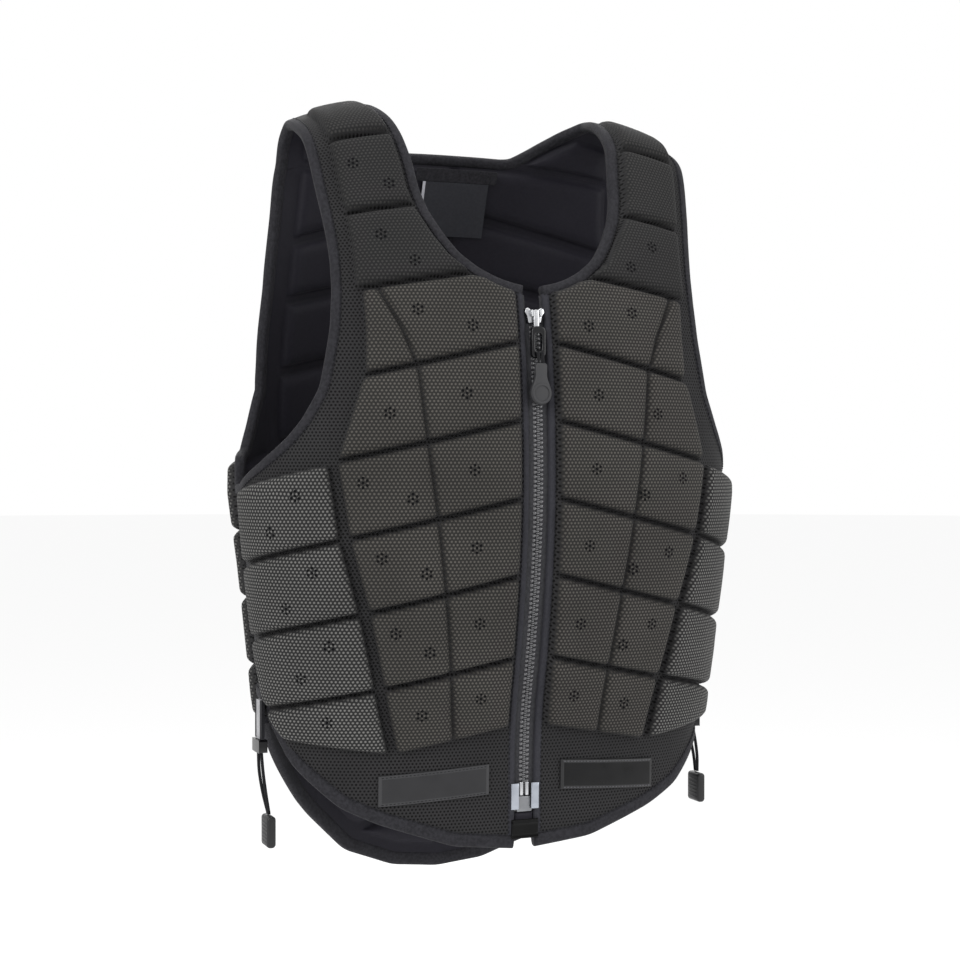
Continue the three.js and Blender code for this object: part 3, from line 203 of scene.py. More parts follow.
# Side tabs, guides, cords and pulls.
TAB_WIDTH = 18
TAB_LENGTH = 27
TAB_THICKNESS = 2.2
TAB_LAYER = 5.45
GUIDE_HEIGHT = 9
GUIDE_DEPTH = 6.3
PIECE_GAP = 0.3
CORD_DIAMETER = 2.3
PULL_WIDTH = 6.4
PULL_LENGTH = 22
PULL_DEPTH = 16.8
RIB_SIZE = (7.0, 12.5, 1.1)
GUIDE_FOOT_AT = (170, -10, -445.7)
CORD_ROUTES = {
    "left_cord_front": [(0, -4, -0.3), (1, -6.5, -11.3), (1.5, -8.5, -23.3), (1, -9.5, -34.3)],
    "left_cord_back": [(0, 4, -0.3), (1.5, 2, -11.3), (2, -2, -23.3), (1, -6.5, -34.3)],
    "right_cord_front": [(0, -4, -0.3), (0.5, -6.5, -13.3), (2, -8.5, -28.3), (4, -9.5, -42.3)],
    "right_cord_back": [(0, 4, -0.3), (0, 2, -13.3), (1.5, -2, -28.3), (4, -6.5, -42.3)],
}

# Vents: where each cluster shows, across and down from the corner of the camera's view, and its holes.
VENT_VIEWS = [
    (353, 163), (389, 183), (381, 234), (415, 260), (418, 309), (473, 325), (390, 413), (467, 393),
    (363, 483), (413, 499), (475, 470), (382, 559), (427, 574), (477, 548), (396, 634), (430, 653),
    (480, 624), (422, 716), (481, 699), (295, 496), (270, 533), (312, 573), (286, 609), (329, 647),
    (301, 679), (327, 723), (652, 247), (631, 267), (632, 313), (589, 326), (599, 395), (658, 414),
    (597, 469), (683, 478), (645, 495), (590, 546), (669, 552), (633, 569), (581, 624), (652, 624),
    (623, 645), (574, 696), (624, 703),
]
VENT_HOLE = 0.95
VENT_SPACING = 3.2
VENT_STAND = 0.12

# Floor and lights, in metres.
FLOOR_Z = -1.15
FLOOR_RADIUS = 30
LIT_PLACE = (0, 0, -0.26)

# Camera in metres: 22 degrees to the wearer's right of straight ahead, level with the middle of the vest.
CAMERA_AT = (-0.4911, -1.2149, -0.2439)
CAMERA_TO = (0.0082, 0.021, -0.2572)
CAMERA_LENS = 66.6
CAMERA_SENSOR = 36
VIEW_SIDE = 960

camera_data = bpy.data.cameras.new("camera")
camera_data.lens = CAMERA_LENS
camera_data.sensor_width = CAMERA_SENSOR
camera_data.clip_start = 0.05
camera_data.clip_end = 60
camera = bpy.data.objects.new("camera", camera_data)
camera.location = CAMERA_AT
camera.rotation_mode = "QUATERNION"
camera.rotation_quaternion = (Vector(CAMERA_TO) - Vector(CAMERA_AT)).to_track_quat("-Z", "Y")
bpy.context.scene.collection.objects.link(camera)
bpy.context.scene.camera = camera


def table(columns, *rows):
    """A table with named columns, each one an array."""
    return {name: np.array(values, float) for name, values in zip(columns.split(), zip(*rows))}


# Levels of the two sides, hem first: heights are shares of the side's length, depths of its depth.
FRONT_LEVELS = table(
    "z y depth tilt",
    (-1.0, -0.71, 0.71, 0), (-0.835, -0.747, 0.747, 0), (-0.736, -0.857, 0.857, 0),
    (-0.624, -0.956, 0.956, 0), (-0.522, -1.0, 1.0, 0), (-0.419, -0.989, 0.989, 0),
    (-0.315, -0.934, 0.934, 0), (-0.217, -0.824, 0.769, 8), (-0.122, -0.626, 0.53, 25),
    (-0.024, -0.374, 0.46, 50), (0.021, 0.0, 0.58, 78),
)
BACK_LEVELS = table(
    "z y depth tilt",
    (-1.0, 0.9, 0.9, 0), (-0.9, 0.908, 0.908, 0), (-0.8, 0.925, 0.925, 0), (-0.7, 0.95, 0.95, 0),
    (-0.6, 0.975, 0.975, 0), (-0.5, 1.0, 1.0, 0), (-0.4, 0.99, 0.99, 0), (-0.3, 0.94, 0.93, 0),
    (-0.205, 0.85, 0.8, 8), (-0.117, 0.725, 0.6, 25), (-0.045, 0.6, 0.43, 50),
    (0.01, 0.47, 0.42, 72),
)
BODY_WIDTHS = table(
    "z width",
    (-1.1, 0.833), (-1.0, 0.867), (-0.835, 0.906), (-0.736, 0.933), (-0.624, 0.967), (-0.522, 1.0),
    (-0.419, 1.0), (-0.315, 0.978), (-0.217, 0.944), (-0.122, 0.928), (-0.024, 0.917),
)

# Chevron grooves: height at the centre as a share of the length, and the fall towards the side.
FRONT_GROOVES = {
    "six": (-0.835, 0.2),
    "five": (-0.736, 0.22),
    "four": (-0.624, 0.24),
    "three": (-0.522, 0.23),
    "two": (-0.419, 0.225),
    "one": (-0.315, 0.225),
    "strap_c": (-0.217, 0.15),
    "strap_b": (-0.122, 0.1),
    "strap_a": (-0.024, 0.06),
}
BACK_GROOVES = [
    (-0.908, 0.3), (-0.813, 0.24), (-0.719, 0.225), (-0.63, 0.225), (-0.54, 0.225), (-0.45, 0.225),
    (-0.36, 0.225), (-0.264, 0.225), (-0.171, 0.2), (-0.09, 0.19),
]
BACK_RIM = (-0.0272, 0)

# Seams and edges, all as shares of the half width, by height.
FRONT_SEAMS = table(
    "z mid foam edge",
    (-1.0, 0.27, 0.47, 0.5), (-0.868, 0.295, 0.515, 0.535), (-0.781, 0.317, 0.57, 0.59),
    (-0.681, 0.35, 0.635, 0.655), (-0.58, 0.39, 0.713, 0.733), (-0.48, 0.43, 0.758, 0.778),
    (-0.42, 0.45, 0.71, 0.779), (-0.36, 0.467, 0.66, 0.775), (-0.307, 0.52, 0.655, 0.745),
    (-0.25, 0.6, 0.66, 0.733),
)
FRONT_STRAP_EDGES = [
    (-0.235, 0.2, 0.733), (-0.207, 0.301, 0.733), (-0.178, 0.358, 0.738), (-0.144, 0.407, 0.748),
    (-0.111, 0.433, 0.76), (-0.075, 0.444, 0.771), (-0.024, 0.472, 0.785), (0.021, 0.502, 0.785),
    ("seam", 0.535, 0.77),
]
FRONT_NECK = table(
    "u z",
    (0.04, -0.252), (0.134, -0.2445), (0.218, -0.2295), (0.3, -0.207),
)
BACK_SEAMS = table(
    "z foam edge",
    (-1.0, 0.53, 0.57), (-0.91, 0.54, 0.58), (-0.85, 0.575, 0.607), (-0.72, 0.645, 0.665),
    (-0.63, 0.7, 0.72), (-0.54, 0.74, 0.76), (-0.45, 0.765, 0.785), (-0.385, 0.77, 0.82),
    (-0.335, 0.77, 0.86), (-0.26, 0.765, 0.855), (-0.17, 0.745, 0.83), (-0.09, 0.72, 0.795),
    (-0.01, 0.7, 0.772),
)
FRONT_HEM = table(
    "u z",
    (0.0, -1.0), (0.28, -0.99), (0.56, -0.957), (0.7, -0.934), (0.86, -0.888), (1.0, -0.842),
    (1.13, -0.8), (1.3, -0.8),
)
BACK_HEM = table(
    "u z",
    (0.0, -1.0), (0.2, -0.993), (0.42, -0.965), (0.6, -0.908), (0.76, -0.848), (0.92, -0.79),
    (1.08, -0.75), (1.3, -0.73),
)
FRONT_ARMHOLE = table(
    "u z",
    (0.775, -0.36), (0.79, -0.385), (0.826, -0.408), (0.867, -0.431), (0.932, -0.456),
    (1.004, -0.475), (1.092, -0.493), (1.214, -0.51), (1.3, -0.52),
)
BACK_ARMHOLE = table(
    "u z",
    (0.86, -0.345), (0.92, -0.392), (1.0, -0.428), (1.1, -0.455), (1.3, -0.473),
)
FRONT_WING_EDGE = table(
    "z foam edge",
    (-0.87, 0.9, 1.13), (-0.81, 1.03, 1.13), (-0.72, 1.14, 1.19), (-0.62, 1.2, 1.25),
    (-0.5, 1.22, 1.27),
)
FRONT_WING_START = (0.535, -0.872, 0.13)
BACK_WING_START = (0.66, -0.79, 0.22)
BACK_STRAP_INNER = table("share u", (0, 0.25), (0.2, 0.333), (0.49, 0.428), (0.81, 0.5), (1, 0.535))
BACK_STRAP_OUTER = table("share u", (0, 0.772), (1, 0.77))


def curve_through(points, places):
    """Points of a centripetal Catmull-Rom curve at places counted in control points."""
    points = np.array(points, float)
    before = 2 * points[0] - points[1]
    after = 2 * points[-1] - points[-2]
    held = np.vstack([before, points, after])
    index = np.clip(np.floor(places).astype(int), 0, len(points) - 2)
    share = (np.asarray(places) - index)[..., None]
    x0, x1, x2, x3 = (held[index + k] for k in range(4))
    gap = [np.linalg.norm(b - a, axis=-1, keepdims=True) ** 0.5 for a, b in ((x0, x1), (x1, x2), (x2, x3))]
    start = (x1 - x0) / gap[0] - (x2 - x0) / (gap[0] + gap[1]) + (x2 - x1) / gap[1]
    end = (x2 - x1) / gap[1] - (x3 - x1) / (gap[1] + gap[2]) + (x3 - x2) / gap[2]
    start, end = start * gap[1], end * gap[1]
    square = -3 * x1 + 3 * x2 - 2 * start - end
    cube = 2 * x1 - 2 * x2 + start + end
    return x1 + share * (start + share * (square + share * cube))


def make_side(levels, length, depth, outward_y):
    """One side of the body: the centre profile, and its length measured from the hem."""
    y = np.append(SIDE_LINE_Y + levels["y"] * depth, SHOULDER_SEAM_Y)
    z = np.append(levels["z"] * length, SHOULDER_HEIGHT)
    points = np.column_stack([y, z])
    places = np.linspace(0, len(y) - 1, (len(y) - 1) * SAMPLES_PER_LEVEL + 1)
    samples = curve_through(points, places)
    along = np.append(0, np.cumsum(np.linalg.norm(np.diff(samples, axis=0), axis=1)))
    return {
        "points": points,
        "depth": np.append(levels["depth"] * depth, SHOULDER_FALL),
        "tilt": np.radians(np.append(levels["tilt"], 90)),
        "places": places,
        "along": along,
        "z": samples[:, 1],
        "length": length,
        "outward": outward_y,
        "top": along[-1],
    }


front = make_side(FRONT_LEVELS, FRONT_LENGTH, FRONT_DEPTH, -1)
back = make_side(BACK_LEVELS, BACK_LENGTH, BACK_DEPTH, 1)


def along_of_z(side, z):
    return np.interp(z, side["z"], side["along"])


def section_at(side, along):
    """Centre, half width, depth and tilt of the section at a distance along the profile."""
    along = np.asarray(along, float)
    places = np.interp(along, side["along"], side["places"])
    centre = curve_through(side["points"], places)
    index = np.clip(np.floor(places).astype(int), 0, len(side["depth"]) - 2)
    share = places - index
    tilt = side["tilt"][index] + share * (side["tilt"][index + 1] - side["tilt"][index])
    mixed = side["depth"][index] + share * (side["depth"][index + 1] - side["depth"][index])
    y = centre[..., 0]
    z = centre[..., 1] + np.minimum(along, 0)
    width = np.interp(z / front["length"], BODY_WIDTHS["z"], BODY_WIDTHS["width"]) * BODY_HALF_WIDTH
    depth = np.where(tilt == 0, np.abs(y - SIDE_LINE_Y), mixed)
    return y, z, width, depth, tilt


def section_point(width, depth, other, angle):
    """How far across and how far in from the centre profile a place on the section is."""
    power = 2 / SECTION_POWER
    across = np.abs(np.sin(angle)) ** power
    towards = np.abs(np.cos(angle)) ** power
    inward = np.where(angle <= math.pi / 2, depth * (1 - towards), depth + other * towards)
    return width * across, inward


def angle_at(width, depth, other, distance):
    """Angle round the section at a distance from the centre: straight across, then along the curve."""
    flat = FLAT_SHARE * width
    near = np.arcsin(np.clip(distance / width, 0, FLAT_SHARE) ** (SECTION_POWER / 2))
    angle = np.full(distance.shape, math.asin(FLAT_SHARE ** (SECTION_POWER / 2)))
    left = distance - flat
    found = near.copy()
    open_ones = left > 0
    x, inward = section_point(width, depth, other, angle)
    while open_ones.any():
        next_x, next_inward = section_point(width, depth, other, angle + ANGLE_STEP)
        piece = np.hypot(next_x - x, next_inward - inward)
        ends = open_ones & (piece >= left)
        found[ends] = (angle + ANGLE_STEP * left / piece)[ends]
        open_ones &= ~ends
        left = left - piece
        angle = angle + ANGLE_STEP
        x, inward = next_x, next_inward
        if angle.flat[0] > LAST_ANGLE:
            found[open_ones] = LAST_ANGLE
            break
    return found


def sheet_point(side, distance, along):
    """Middle of the cloth at a distance from the centre line and a distance along the profile."""
    distance, along = np.broadcast_arrays(np.asarray(distance, float), np.asarray(along, float))
    y, z, width, depth, tilt = section_at(side, along)
    facing = back if side is front else front
    other = section_at(facing, along_of_z(facing, z))[3]
    angle = angle_at(width, depth, other, np.abs(distance))
    x, inward = section_point(width, depth, other, angle)
    y = y - side["outward"] * inward * np.cos(tilt)
    return np.stack([np.sign(distance) * x, y, z - inward * np.sin(tilt)], axis=-1)


def unit(vectors):
    return vectors / np.maximum(np.linalg.norm(vectors, axis=-1, keepdims=True), 1e-12)


def sheet_frame(side, distance, along):
    """Places and outward normals of the cloth."""
    distance, along = np.broadcast_arrays(np.asarray(distance, float), np.asarray(along, float))
    step = NORMAL_STEP
    point = sheet_point(side, distance, along)
    near = np.where(np.abs(distance) < step, step, distance)
    across = sheet_point(side, near + step, along) - sheet_point(side, near - step, along)
    up = sheet_point(side, near, along + step) - sheet_point(side, near, along - step)
    normal = unit(np.cross(across, up)) * -side["outward"]
    normal[..., 0] = np.where(np.abs(distance) < step, 0, normal[..., 0])
    normal[..., 1] = np.where(along > side["top"] - step, 0, normal[..., 1])
    return point, unit(normal)


def half_girth(z):
    """Half the girth at a height, from the front centre round to the back centre."""
    total = 0
    for side in (front, back):
        _, _, width, depth, _ = section_at(side, along_of_z(side, z))
        start = math.asin(FLAT_SHARE ** (SECTION_POWER / 2))
        total = total + FLAT_SHARE * width
        here = section_point(width, depth, depth, np.full(np.shape(z), start))
        for k in range(1, GIRTH_STEPS + 1):
            angle = start + (math.pi / 2 - start) * k / GIRTH_STEPS
            there = section_point(width, depth, depth, np.full(np.shape(z), angle))
            total = total + np.hypot(there[0] - here[0], there[1] - here[1])
            here = there
    return total


# Lines from the tables.
def groove_line(side, groove, shift=0):
    start = along_of_z(side, groove[0] * side["length"])
    return lambda u: start - groove[1] * np.abs(u) + shift


def height_line(side, rows):
    def line(u):
        share = np.interp(np.abs(u) / BODY_HALF_WIDTH, rows["u"], rows["z"])
        return along_of_z(side, share * side["length"])

    return line


def seam_line(side, rows, column, shift=0):
    def line(along):
        z = section_at(side, along)[1]
        return np.interp(z / side["length"], rows["z"], rows[column]) * BODY_HALF_WIDTH + shift

    return line


def rising_line(side, start):
    origin = along_of_z(side, start[1] * side["length"])
    return lambda u: origin + start[2] * (u - start[0] * BODY_HALF_WIDTH)


def steady(value):
    return lambda other: value + 0 * np.asarray(other, float)


def between(low, high, share):
    return lambda other: low(other) + share * (high(other) - low(other))


def stacked(lines, least=LEAST_ROW_HEIGHT):
    """Lines one above the other that never cross."""
    kept = [lines[0]]
    for line in lines[1:]:
        below = kept[-1]
        kept.append(lambda u, line=line, below=below: np.maximum(line(u), below(u) + least))
    return kept


# Fine lines of a quilted piece. Each has its place, the two seams beside it, and how deep they are.


def beside(seam, far, way, step, share):
    """A line a step from a seam, but never past a share of the way to the far one."""
    return lambda other: seam(other) + way * np.minimum(step, share * np.abs(far(other) - seam(other)))


def fine_lines(seams, padded, floors=None, at=60.0):
    """Places of the fine lines between seams, closer beside each seam. Bands are measured at one place."""
    floors = floors or [0.0] * len(seams)
    lines = []
    for k, flag in enumerate(padded):
        low, high = seams[k], seams[k + 1]
        size = float(np.max(high(np.array([at])) - low(np.array([at]))))
        facts = (low, high, flag, floors[k], floors[k + 1])
        if not flag:
            count = max(1, round(size / COARSE_STEP))
            for n in range(count):
                lines.append((between(low, high, n / count), *facts))
            continue
        steps = len(SHOULDER_STEPS)
        inner = max(1, round((size - 2 * SHOULDER_STEPS[-1]) / COARSE_STEP))
        up = [beside(low, high, 1, step, n / (2 * steps)) for n, step in enumerate(SHOULDER_STEPS)]
        down = [beside(high, low, -1, step, n / (2 * steps)) for n, step in enumerate(SHOULDER_STEPS)]
        places = [*up, *(between(up[-1], down[-1], n / inner) for n in range(1, inner)), *down[:0:-1]]
        lines += [(place, *facts) for place in places]
    lines.append((seams[-1], seams[-2], seams[-1], padded[-1], floors[-2], floors[-1]))
    return lines


def crossings(rows, columns):
    """Where every row line meets every column line: distances from the centre, and distances along."""
    shape = (len(rows), len(columns))

    def following(u):
        along = np.stack([rows[i][0](u[i]) for i in range(shape[0])])
        return np.stack([columns[j][0](along[:, j]) for j in range(shape[1])], axis=1)

    before = np.full(shape, SEARCH_START)
    next_before = following(before)
    value = next_before.copy()
    for _ in range(SEARCH_STEPS):
        next_value = following(value)
        change = value - before
        settled = np.abs(change) < 1e-6
        slope = np.where(settled, 0, (next_value - next_before) / np.where(settled, 1, change))
        slope = np.minimum(slope, MOST_SLOPE)
        before, next_before = value, next_value
        value = np.where(settled, next_value, value + (next_value - value) / (1 - slope))
    along = np.stack([rows[i][0](value[i]) for i in range(shape[0])])
    return value, along


def shoulder(distance, radius, start=0.0):
    """Rise of a block's edge beside a seam: steep at the seam and round into its top."""
    share = np.clip((distance - start) / radius, 0, 1)
    return np.sqrt(np.maximum(1 - (1 - share) ** 2, 0))


def relief(lines, places, others, radius, start):
    """How far a pad stands at each place between its two seams, from 0 to 1."""
    rise = np.zeros(places.shape)
    dome = np.zeros(places.shape)
    for k, (_, low, high, flag, low_floor, high_floor) in enumerate(lines):
        if not flag:
            continue
        bottom = places[k] - low(others[k])
        top = high(others[k]) - places[k]
        low_rise = low_floor + (1 - low_floor) * shoulder(bottom, radius, start)
        high_rise = high_floor + (1 - high_floor) * shoulder(top, radius, start)
        rise[k] = np.minimum(low_rise, high_rise)
        dome[k] = 4 * bottom * top / np.maximum(bottom + top, 1e-6) ** 2
    return rise, dome


def quilt(side, rows, columns):
    """Surfaces of a quilted piece: places, normals, outer and inner faces, and cloth coordinates."""
    u, along = crossings(rows, columns)
    point, normal = sheet_frame(side, u, along)
    faces = []
    ridge = RIDGE_STAND_SHARE + (1 - RIDGE_STAND_SHARE) * np.clip((side["top"] - along) / RIDGE_REACH, 0, 1)
    sizes = ((OUTER_RADIUS, OUTER_START, PAD_STAND * ridge), (INNER_RADIUS, INNER_START, PAD_BACK_STAND))
    for radius, start, stand in sizes:
        row_rise, row_dome = relief(rows, along, u, radius, start)
        column_rise, column_dome = relief(columns, u.T, along.T, radius, start)
        rise = row_rise * column_rise.T
        share = rise * (1 - DOME + DOME * row_dome * column_dome.T)
        faces.append((MESH_THICKNESS / 2 + share * stand, rise))
    return {
        "point": point,
        "normal": normal,
        "outer": point + normal * faces[0][0][..., None],
        "inner": point - normal * faces[1][0][..., None],
        "u": u,
        "along": along,
        "pad": faces[0][1],
        "pad_inside": faces[1][1],
    }


# Front panel, strap and wing.
hem_foot = height_line(front, FRONT_HEM)
neck_scoop = height_line(front, FRONT_NECK)
panel_head = groove_line(front, FRONT_GROOVES["strap_c"], -SEAM_GAP / 2)


def panel_top(u):
    return np.minimum(panel_head(u), neck_scoop(u))


panel_feet = [groove_line(front, groove) for groove in list(FRONT_GROOVES.values())[:6]]
panel_rows = fine_lines([hem_foot, *panel_feet, panel_top], [False] + [True] * 6)
panel_columns = fine_lines(
    [
        steady(ZIP_SLOT_HALF),
        steady(ZIP_SLOT_HALF + PLACKET_WIDTH),
        seam_line(front, FRONT_SEAMS, "mid"),
        seam_line(front, FRONT_SEAMS, "foam"),
        seam_line(front, FRONT_SEAMS, "edge", -SEAM_GAP / 2),
    ],
    [False, True, True, False],
    [0.0, 0.0, MID_SEAM_FLOOR, 0.0, 0.0],
    at=250.0,
)
panel = quilt(front, panel_rows, panel_columns)

strap_along = [along_of_z(front, row[0] * front["length"]) for row in FRONT_STRAP_EDGES[:-1]]
strap_along.append(front["top"])


def strap_edge(column, shift=0):
    shares = np.array([row[column] for row in FRONT_STRAP_EDGES])
    return lambda along: np.interp(along, strap_along, shares) * BODY_HALF_WIDTH + shift


strap_feet = [
    groove_line(front, FRONT_GROOVES["strap_c"], SEAM_GAP / 2),
    groove_line(front, FRONT_GROOVES["strap_b"]),
    groove_line(front, FRONT_GROOVES["strap_a"]),
    lambda u: front["top"] - SHOULDER_MARGIN - SHOULDER_MARGIN_FALL * u,
    steady(front["top"] - SEAM_GAP / 2),
]
strap_rows = fine_lines(strap_feet, [True, True, True, False], at=110.0)
strap_columns = fine_lines(
    [strap_edge(1), strap_edge(1, STRAP_NECK_MARGIN), strap_edge(2, -STRAP_ARMHOLE_MARGIN), strap_edge(2)],
    [False, True, False],
    at=520.0,
)
strap = quilt(front, strap_rows, strap_columns)

wing_top_pad = groove_line(front, FRONT_GROOVES["two"])
wing_feet = [groove_line(front, FRONT_GROOVES[key]) for key in ("five", "four", "three")]
wing_lines = stacked([hem_foot, rising_line(front, FRONT_WING_START), *wing_feet, wing_top_pad])
wing_top = stacked([wing_top_pad, height_line(front, FRONT_ARMHOLE)], LEAST_MARGIN_HEIGHT)[-1]
wing_outer = seam_line(front, FRONT_WING_EDGE, "edge")
wing_foam = seam_line(front, FRONT_WING_EDGE, "foam")
wing_rows = fine_lines([*wing_lines, wing_top], [False, True, True, True, True, False], at=140.0)
wing_inner = seam_line(front, FRONT_SEAMS, "edge", SEAM_GAP / 2)
wing_columns = fine_lines([wing_inner, wing_foam, wing_outer], [True, False], at=200.0)
wing = quilt(front, wing_rows, wing_columns)

# Back panel, strap and wing.
back_feet = [groove_line(back, groove) for groove in BACK_GROOVES]
back_hem_line = height_line(back, BACK_HEM)
back_rim_line = groove_line(back, BACK_RIM, -SEAM_GAP / 2)
back_lines = stacked([back_hem_line, lambda u: back_hem_line(u) + HEM_MARGIN, *back_feet, back_rim_line])
back_rows = fine_lines(back_lines, [False] + [True] * (len(back_lines) - 2))
back_columns = fine_lines(
    [steady(0), seam_line(back, BACK_SEAMS, "foam"), seam_line(back, BACK_SEAMS, "edge", -SEAM_GAP / 2)],
    [True, False],
    at=300.0,
)
half_back = quilt(back, back_rows, back_columns)

back_strap_start = along_of_z(back, BACK_RIM[0] * back["length"])


def back_strap_edge(rows, shift=0):
    def line(along):
        share = (along - back_strap_start) / (back["top"] - back_strap_start)
        return np.interp(share, rows["share"], rows["u"]) * BODY_HALF_WIDTH + shift

    return line


back_strap_feet = [
    groove_line(back, BACK_RIM, SEAM_GAP / 2),
    steady(back["top"] - BACK_SHOULDER_MARGIN),
    steady(back["top"] - SEAM_GAP / 2),
]
back_strap_rows = fine_lines(back_strap_feet, [True, False], at=110.0)
back_strap_columns = fine_lines(
    [
        back_strap_edge(BACK_STRAP_INNER),
        back_strap_edge(BACK_STRAP_INNER, STRAP_NECK_MARGIN),
        back_strap_edge(BACK_STRAP_OUTER, -BACK_ARMHOLE_MARGIN),
        back_strap_edge(BACK_STRAP_OUTER),
    ],
    [False, True, False],
    at=580.0,
)
back_strap = quilt(back, back_strap_rows, back_strap_columns)


def front_wing_end(z):
    return np.interp(z / front["length"], FRONT_WING_EDGE["z"], FRONT_WING_EDGE["edge"]) * BODY_HALF_WIDTH


def back_wing_end(along):
    z = section_at(back, along)[1]
    return half_girth(z) - front_wing_end(z) - GUSSET_WIDTH - 2 * SEAM_GAP


back_wing_top_pad = groove_line(back, BACK_GROOVES[6])
back_wing_feet = [groove_line(back, groove) for groove in BACK_GROOVES[3:6]]
back_wing_foot = rising_line(back, BACK_WING_START)
back_wing_lines = stacked([back_hem_line, back_wing_foot, *back_wing_feet, back_wing_top_pad])
back_wing_top = stacked([back_wing_top_pad, height_line(back, BACK_ARMHOLE)], LEAST_MARGIN_HEIGHT)[-1]
wing_padded = [False, True, True, True, True, False]
back_wing_rows = fine_lines([*back_wing_lines, back_wing_top], wing_padded, at=150.0)
back_wing_edges = [
    seam_line(back, BACK_SEAMS, "edge", SEAM_GAP / 2),
    lambda along: back_wing_end(along) - WING_MARGIN,
    back_wing_end,
]
back_wing = quilt(back, back_wing_rows, fine_lines(back_wing_edges, [True, False], at=250.0))


# Side gusset: plain stretch cloth between the wings.
def gusset_grid(rows, columns):
    z = np.linspace(FRONT_HEM["z"][-1], FRONT_ARMHOLE["z"][-1], rows + 1)[:, None] * front["length"]
    distance = front_wing_end(z) + SEAM_GAP + GUSSET_WIDTH * np.linspace(0, 1, columns + 1)
    along = np.broadcast_to(along_of_z(front, z), distance.shape)
    point, normal = sheet_frame(front, distance, along)
    return {"point": point, "normal": normal, "u": distance, "along": along}


gusset = gusset_grid(72, 12)


# Meshes.
def grid_faces(rows, columns, offset=0, flip=False):
    """Quads of a grid."""
    i, j = np.meshgrid(np.arange(rows - 1), np.arange(columns - 1), indexing="ij")
    a = (i * columns + j).ravel() + offset
    quads = np.stack([a, a + 1, a + 1 + columns, a + columns], axis=1)
    return quads[:, ::-1] if flip else quads


def new_piece(name, vertices, faces, materials, slot, nodes=(), body="vest", uv=None, kinds=None, pad=None):
    """A mesh object from places in millimetres, which rides on a body and stands for CAD nodes."""
    mesh = bpy.data.meshes.new(name)
    places = (np.asarray(vertices, float) * MM).tolist()
    mesh.from_pydata(places, [], [[int(k) for k in face] for face in faces])
    if uv is not None:
        layer = mesh.uv_layers.new(name="cloth")
        index = np.empty(len(mesh.loops), int)
        mesh.loops.foreach_get("vertex_index", index)
        layer.data.foreach_set("uv", (np.asarray(uv, float) * MM)[index].ravel())
    if pad is not None:
        held = mesh.attributes.new("pad", "FLOAT", "POINT")
        held.data.foreach_set("value", np.asarray(pad, float).ravel())
    for material in materials:
        mesh.materials.append(material)
    if kinds is not None:
        mesh.polygons.foreach_set("material_index", np.asarray(kinds == 1, np.int32))
    mesh.polygons.foreach_set("use_smooth", [True] * len(mesh.polygons))
    mesh.update()
    thing = bpy.data.objects.new(name, mesh)
    bpy.context.scene.collection.objects.link(thing)
    if nodes:
        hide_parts(*nodes)
    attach(thing, body)
    return thing


def mirrored(vertices):
    return np.asarray(vertices) * np.array([-1.0, 1, 1])


def border(rows, columns):
    """Indices round a grid."""
    top = [(rows - 1) * columns + j for j in range(columns - 2, -1, -1)]
    left = [i * columns for i in range(rows - 2, 0, -1)]
    return [*range(columns), *(i * columns + columns - 1 for i in range(1, rows)), *top, *left]


def shell(outer, inner, uv, mirror=False):
    """A closed slab: outer face, inner face and crisp walls round its border."""
    rows, columns = outer.shape[:2]
    count = rows * columns
    ring = np.array(border(rows, columns))
    outer = outer.reshape(-1, 3)
    inner = inner.reshape(-1, 3)
    uv = uv.reshape(-1, 2)
    vertices = np.concatenate([outer, inner, outer[ring], inner[ring]])
    coordinates = np.concatenate([uv, uv, uv[ring], uv[ring]])
    size = len(ring)
    a = np.arange(size)
    b = (a + 1) % size
    walls = np.stack([b, a, a + size, b + size], axis=1) + 2 * count
    if mirror:
        walls = walls[:, ::-1]
        vertices = mirrored(vertices)
    faces = [grid_faces(rows, columns, 0, mirror), grid_faces(rows, columns, count, not mirror), walls]
    kinds = np.concatenate([np.full(len(part), k) for k, part in enumerate(faces)])
    return vertices, np.concatenate(faces), coordinates, kinds, ring


# Material tools.
def new_material(name, base, roughness, metallic=0.0, specular=0.5, sheen=0.0):
    material = bpy.data.materials.new(name)
    material.use_nodes = True
    shader = material.node_tree.nodes["Principled BSDF"]
    shader.inputs["Base Color"].default_value = (*base, 1)
    shader.inputs["Roughness"].default_value = roughness
    shader.inputs["Metallic"].default_value = metallic
    shader.inputs["Specular IOR Level"].default_value = specular
    shader.inputs["Sheen Weight"].default_value = sheen
    shader.inputs["Sheen Roughness"].default_value = 0.4
    return material, Nodes(material.node_tree), shader


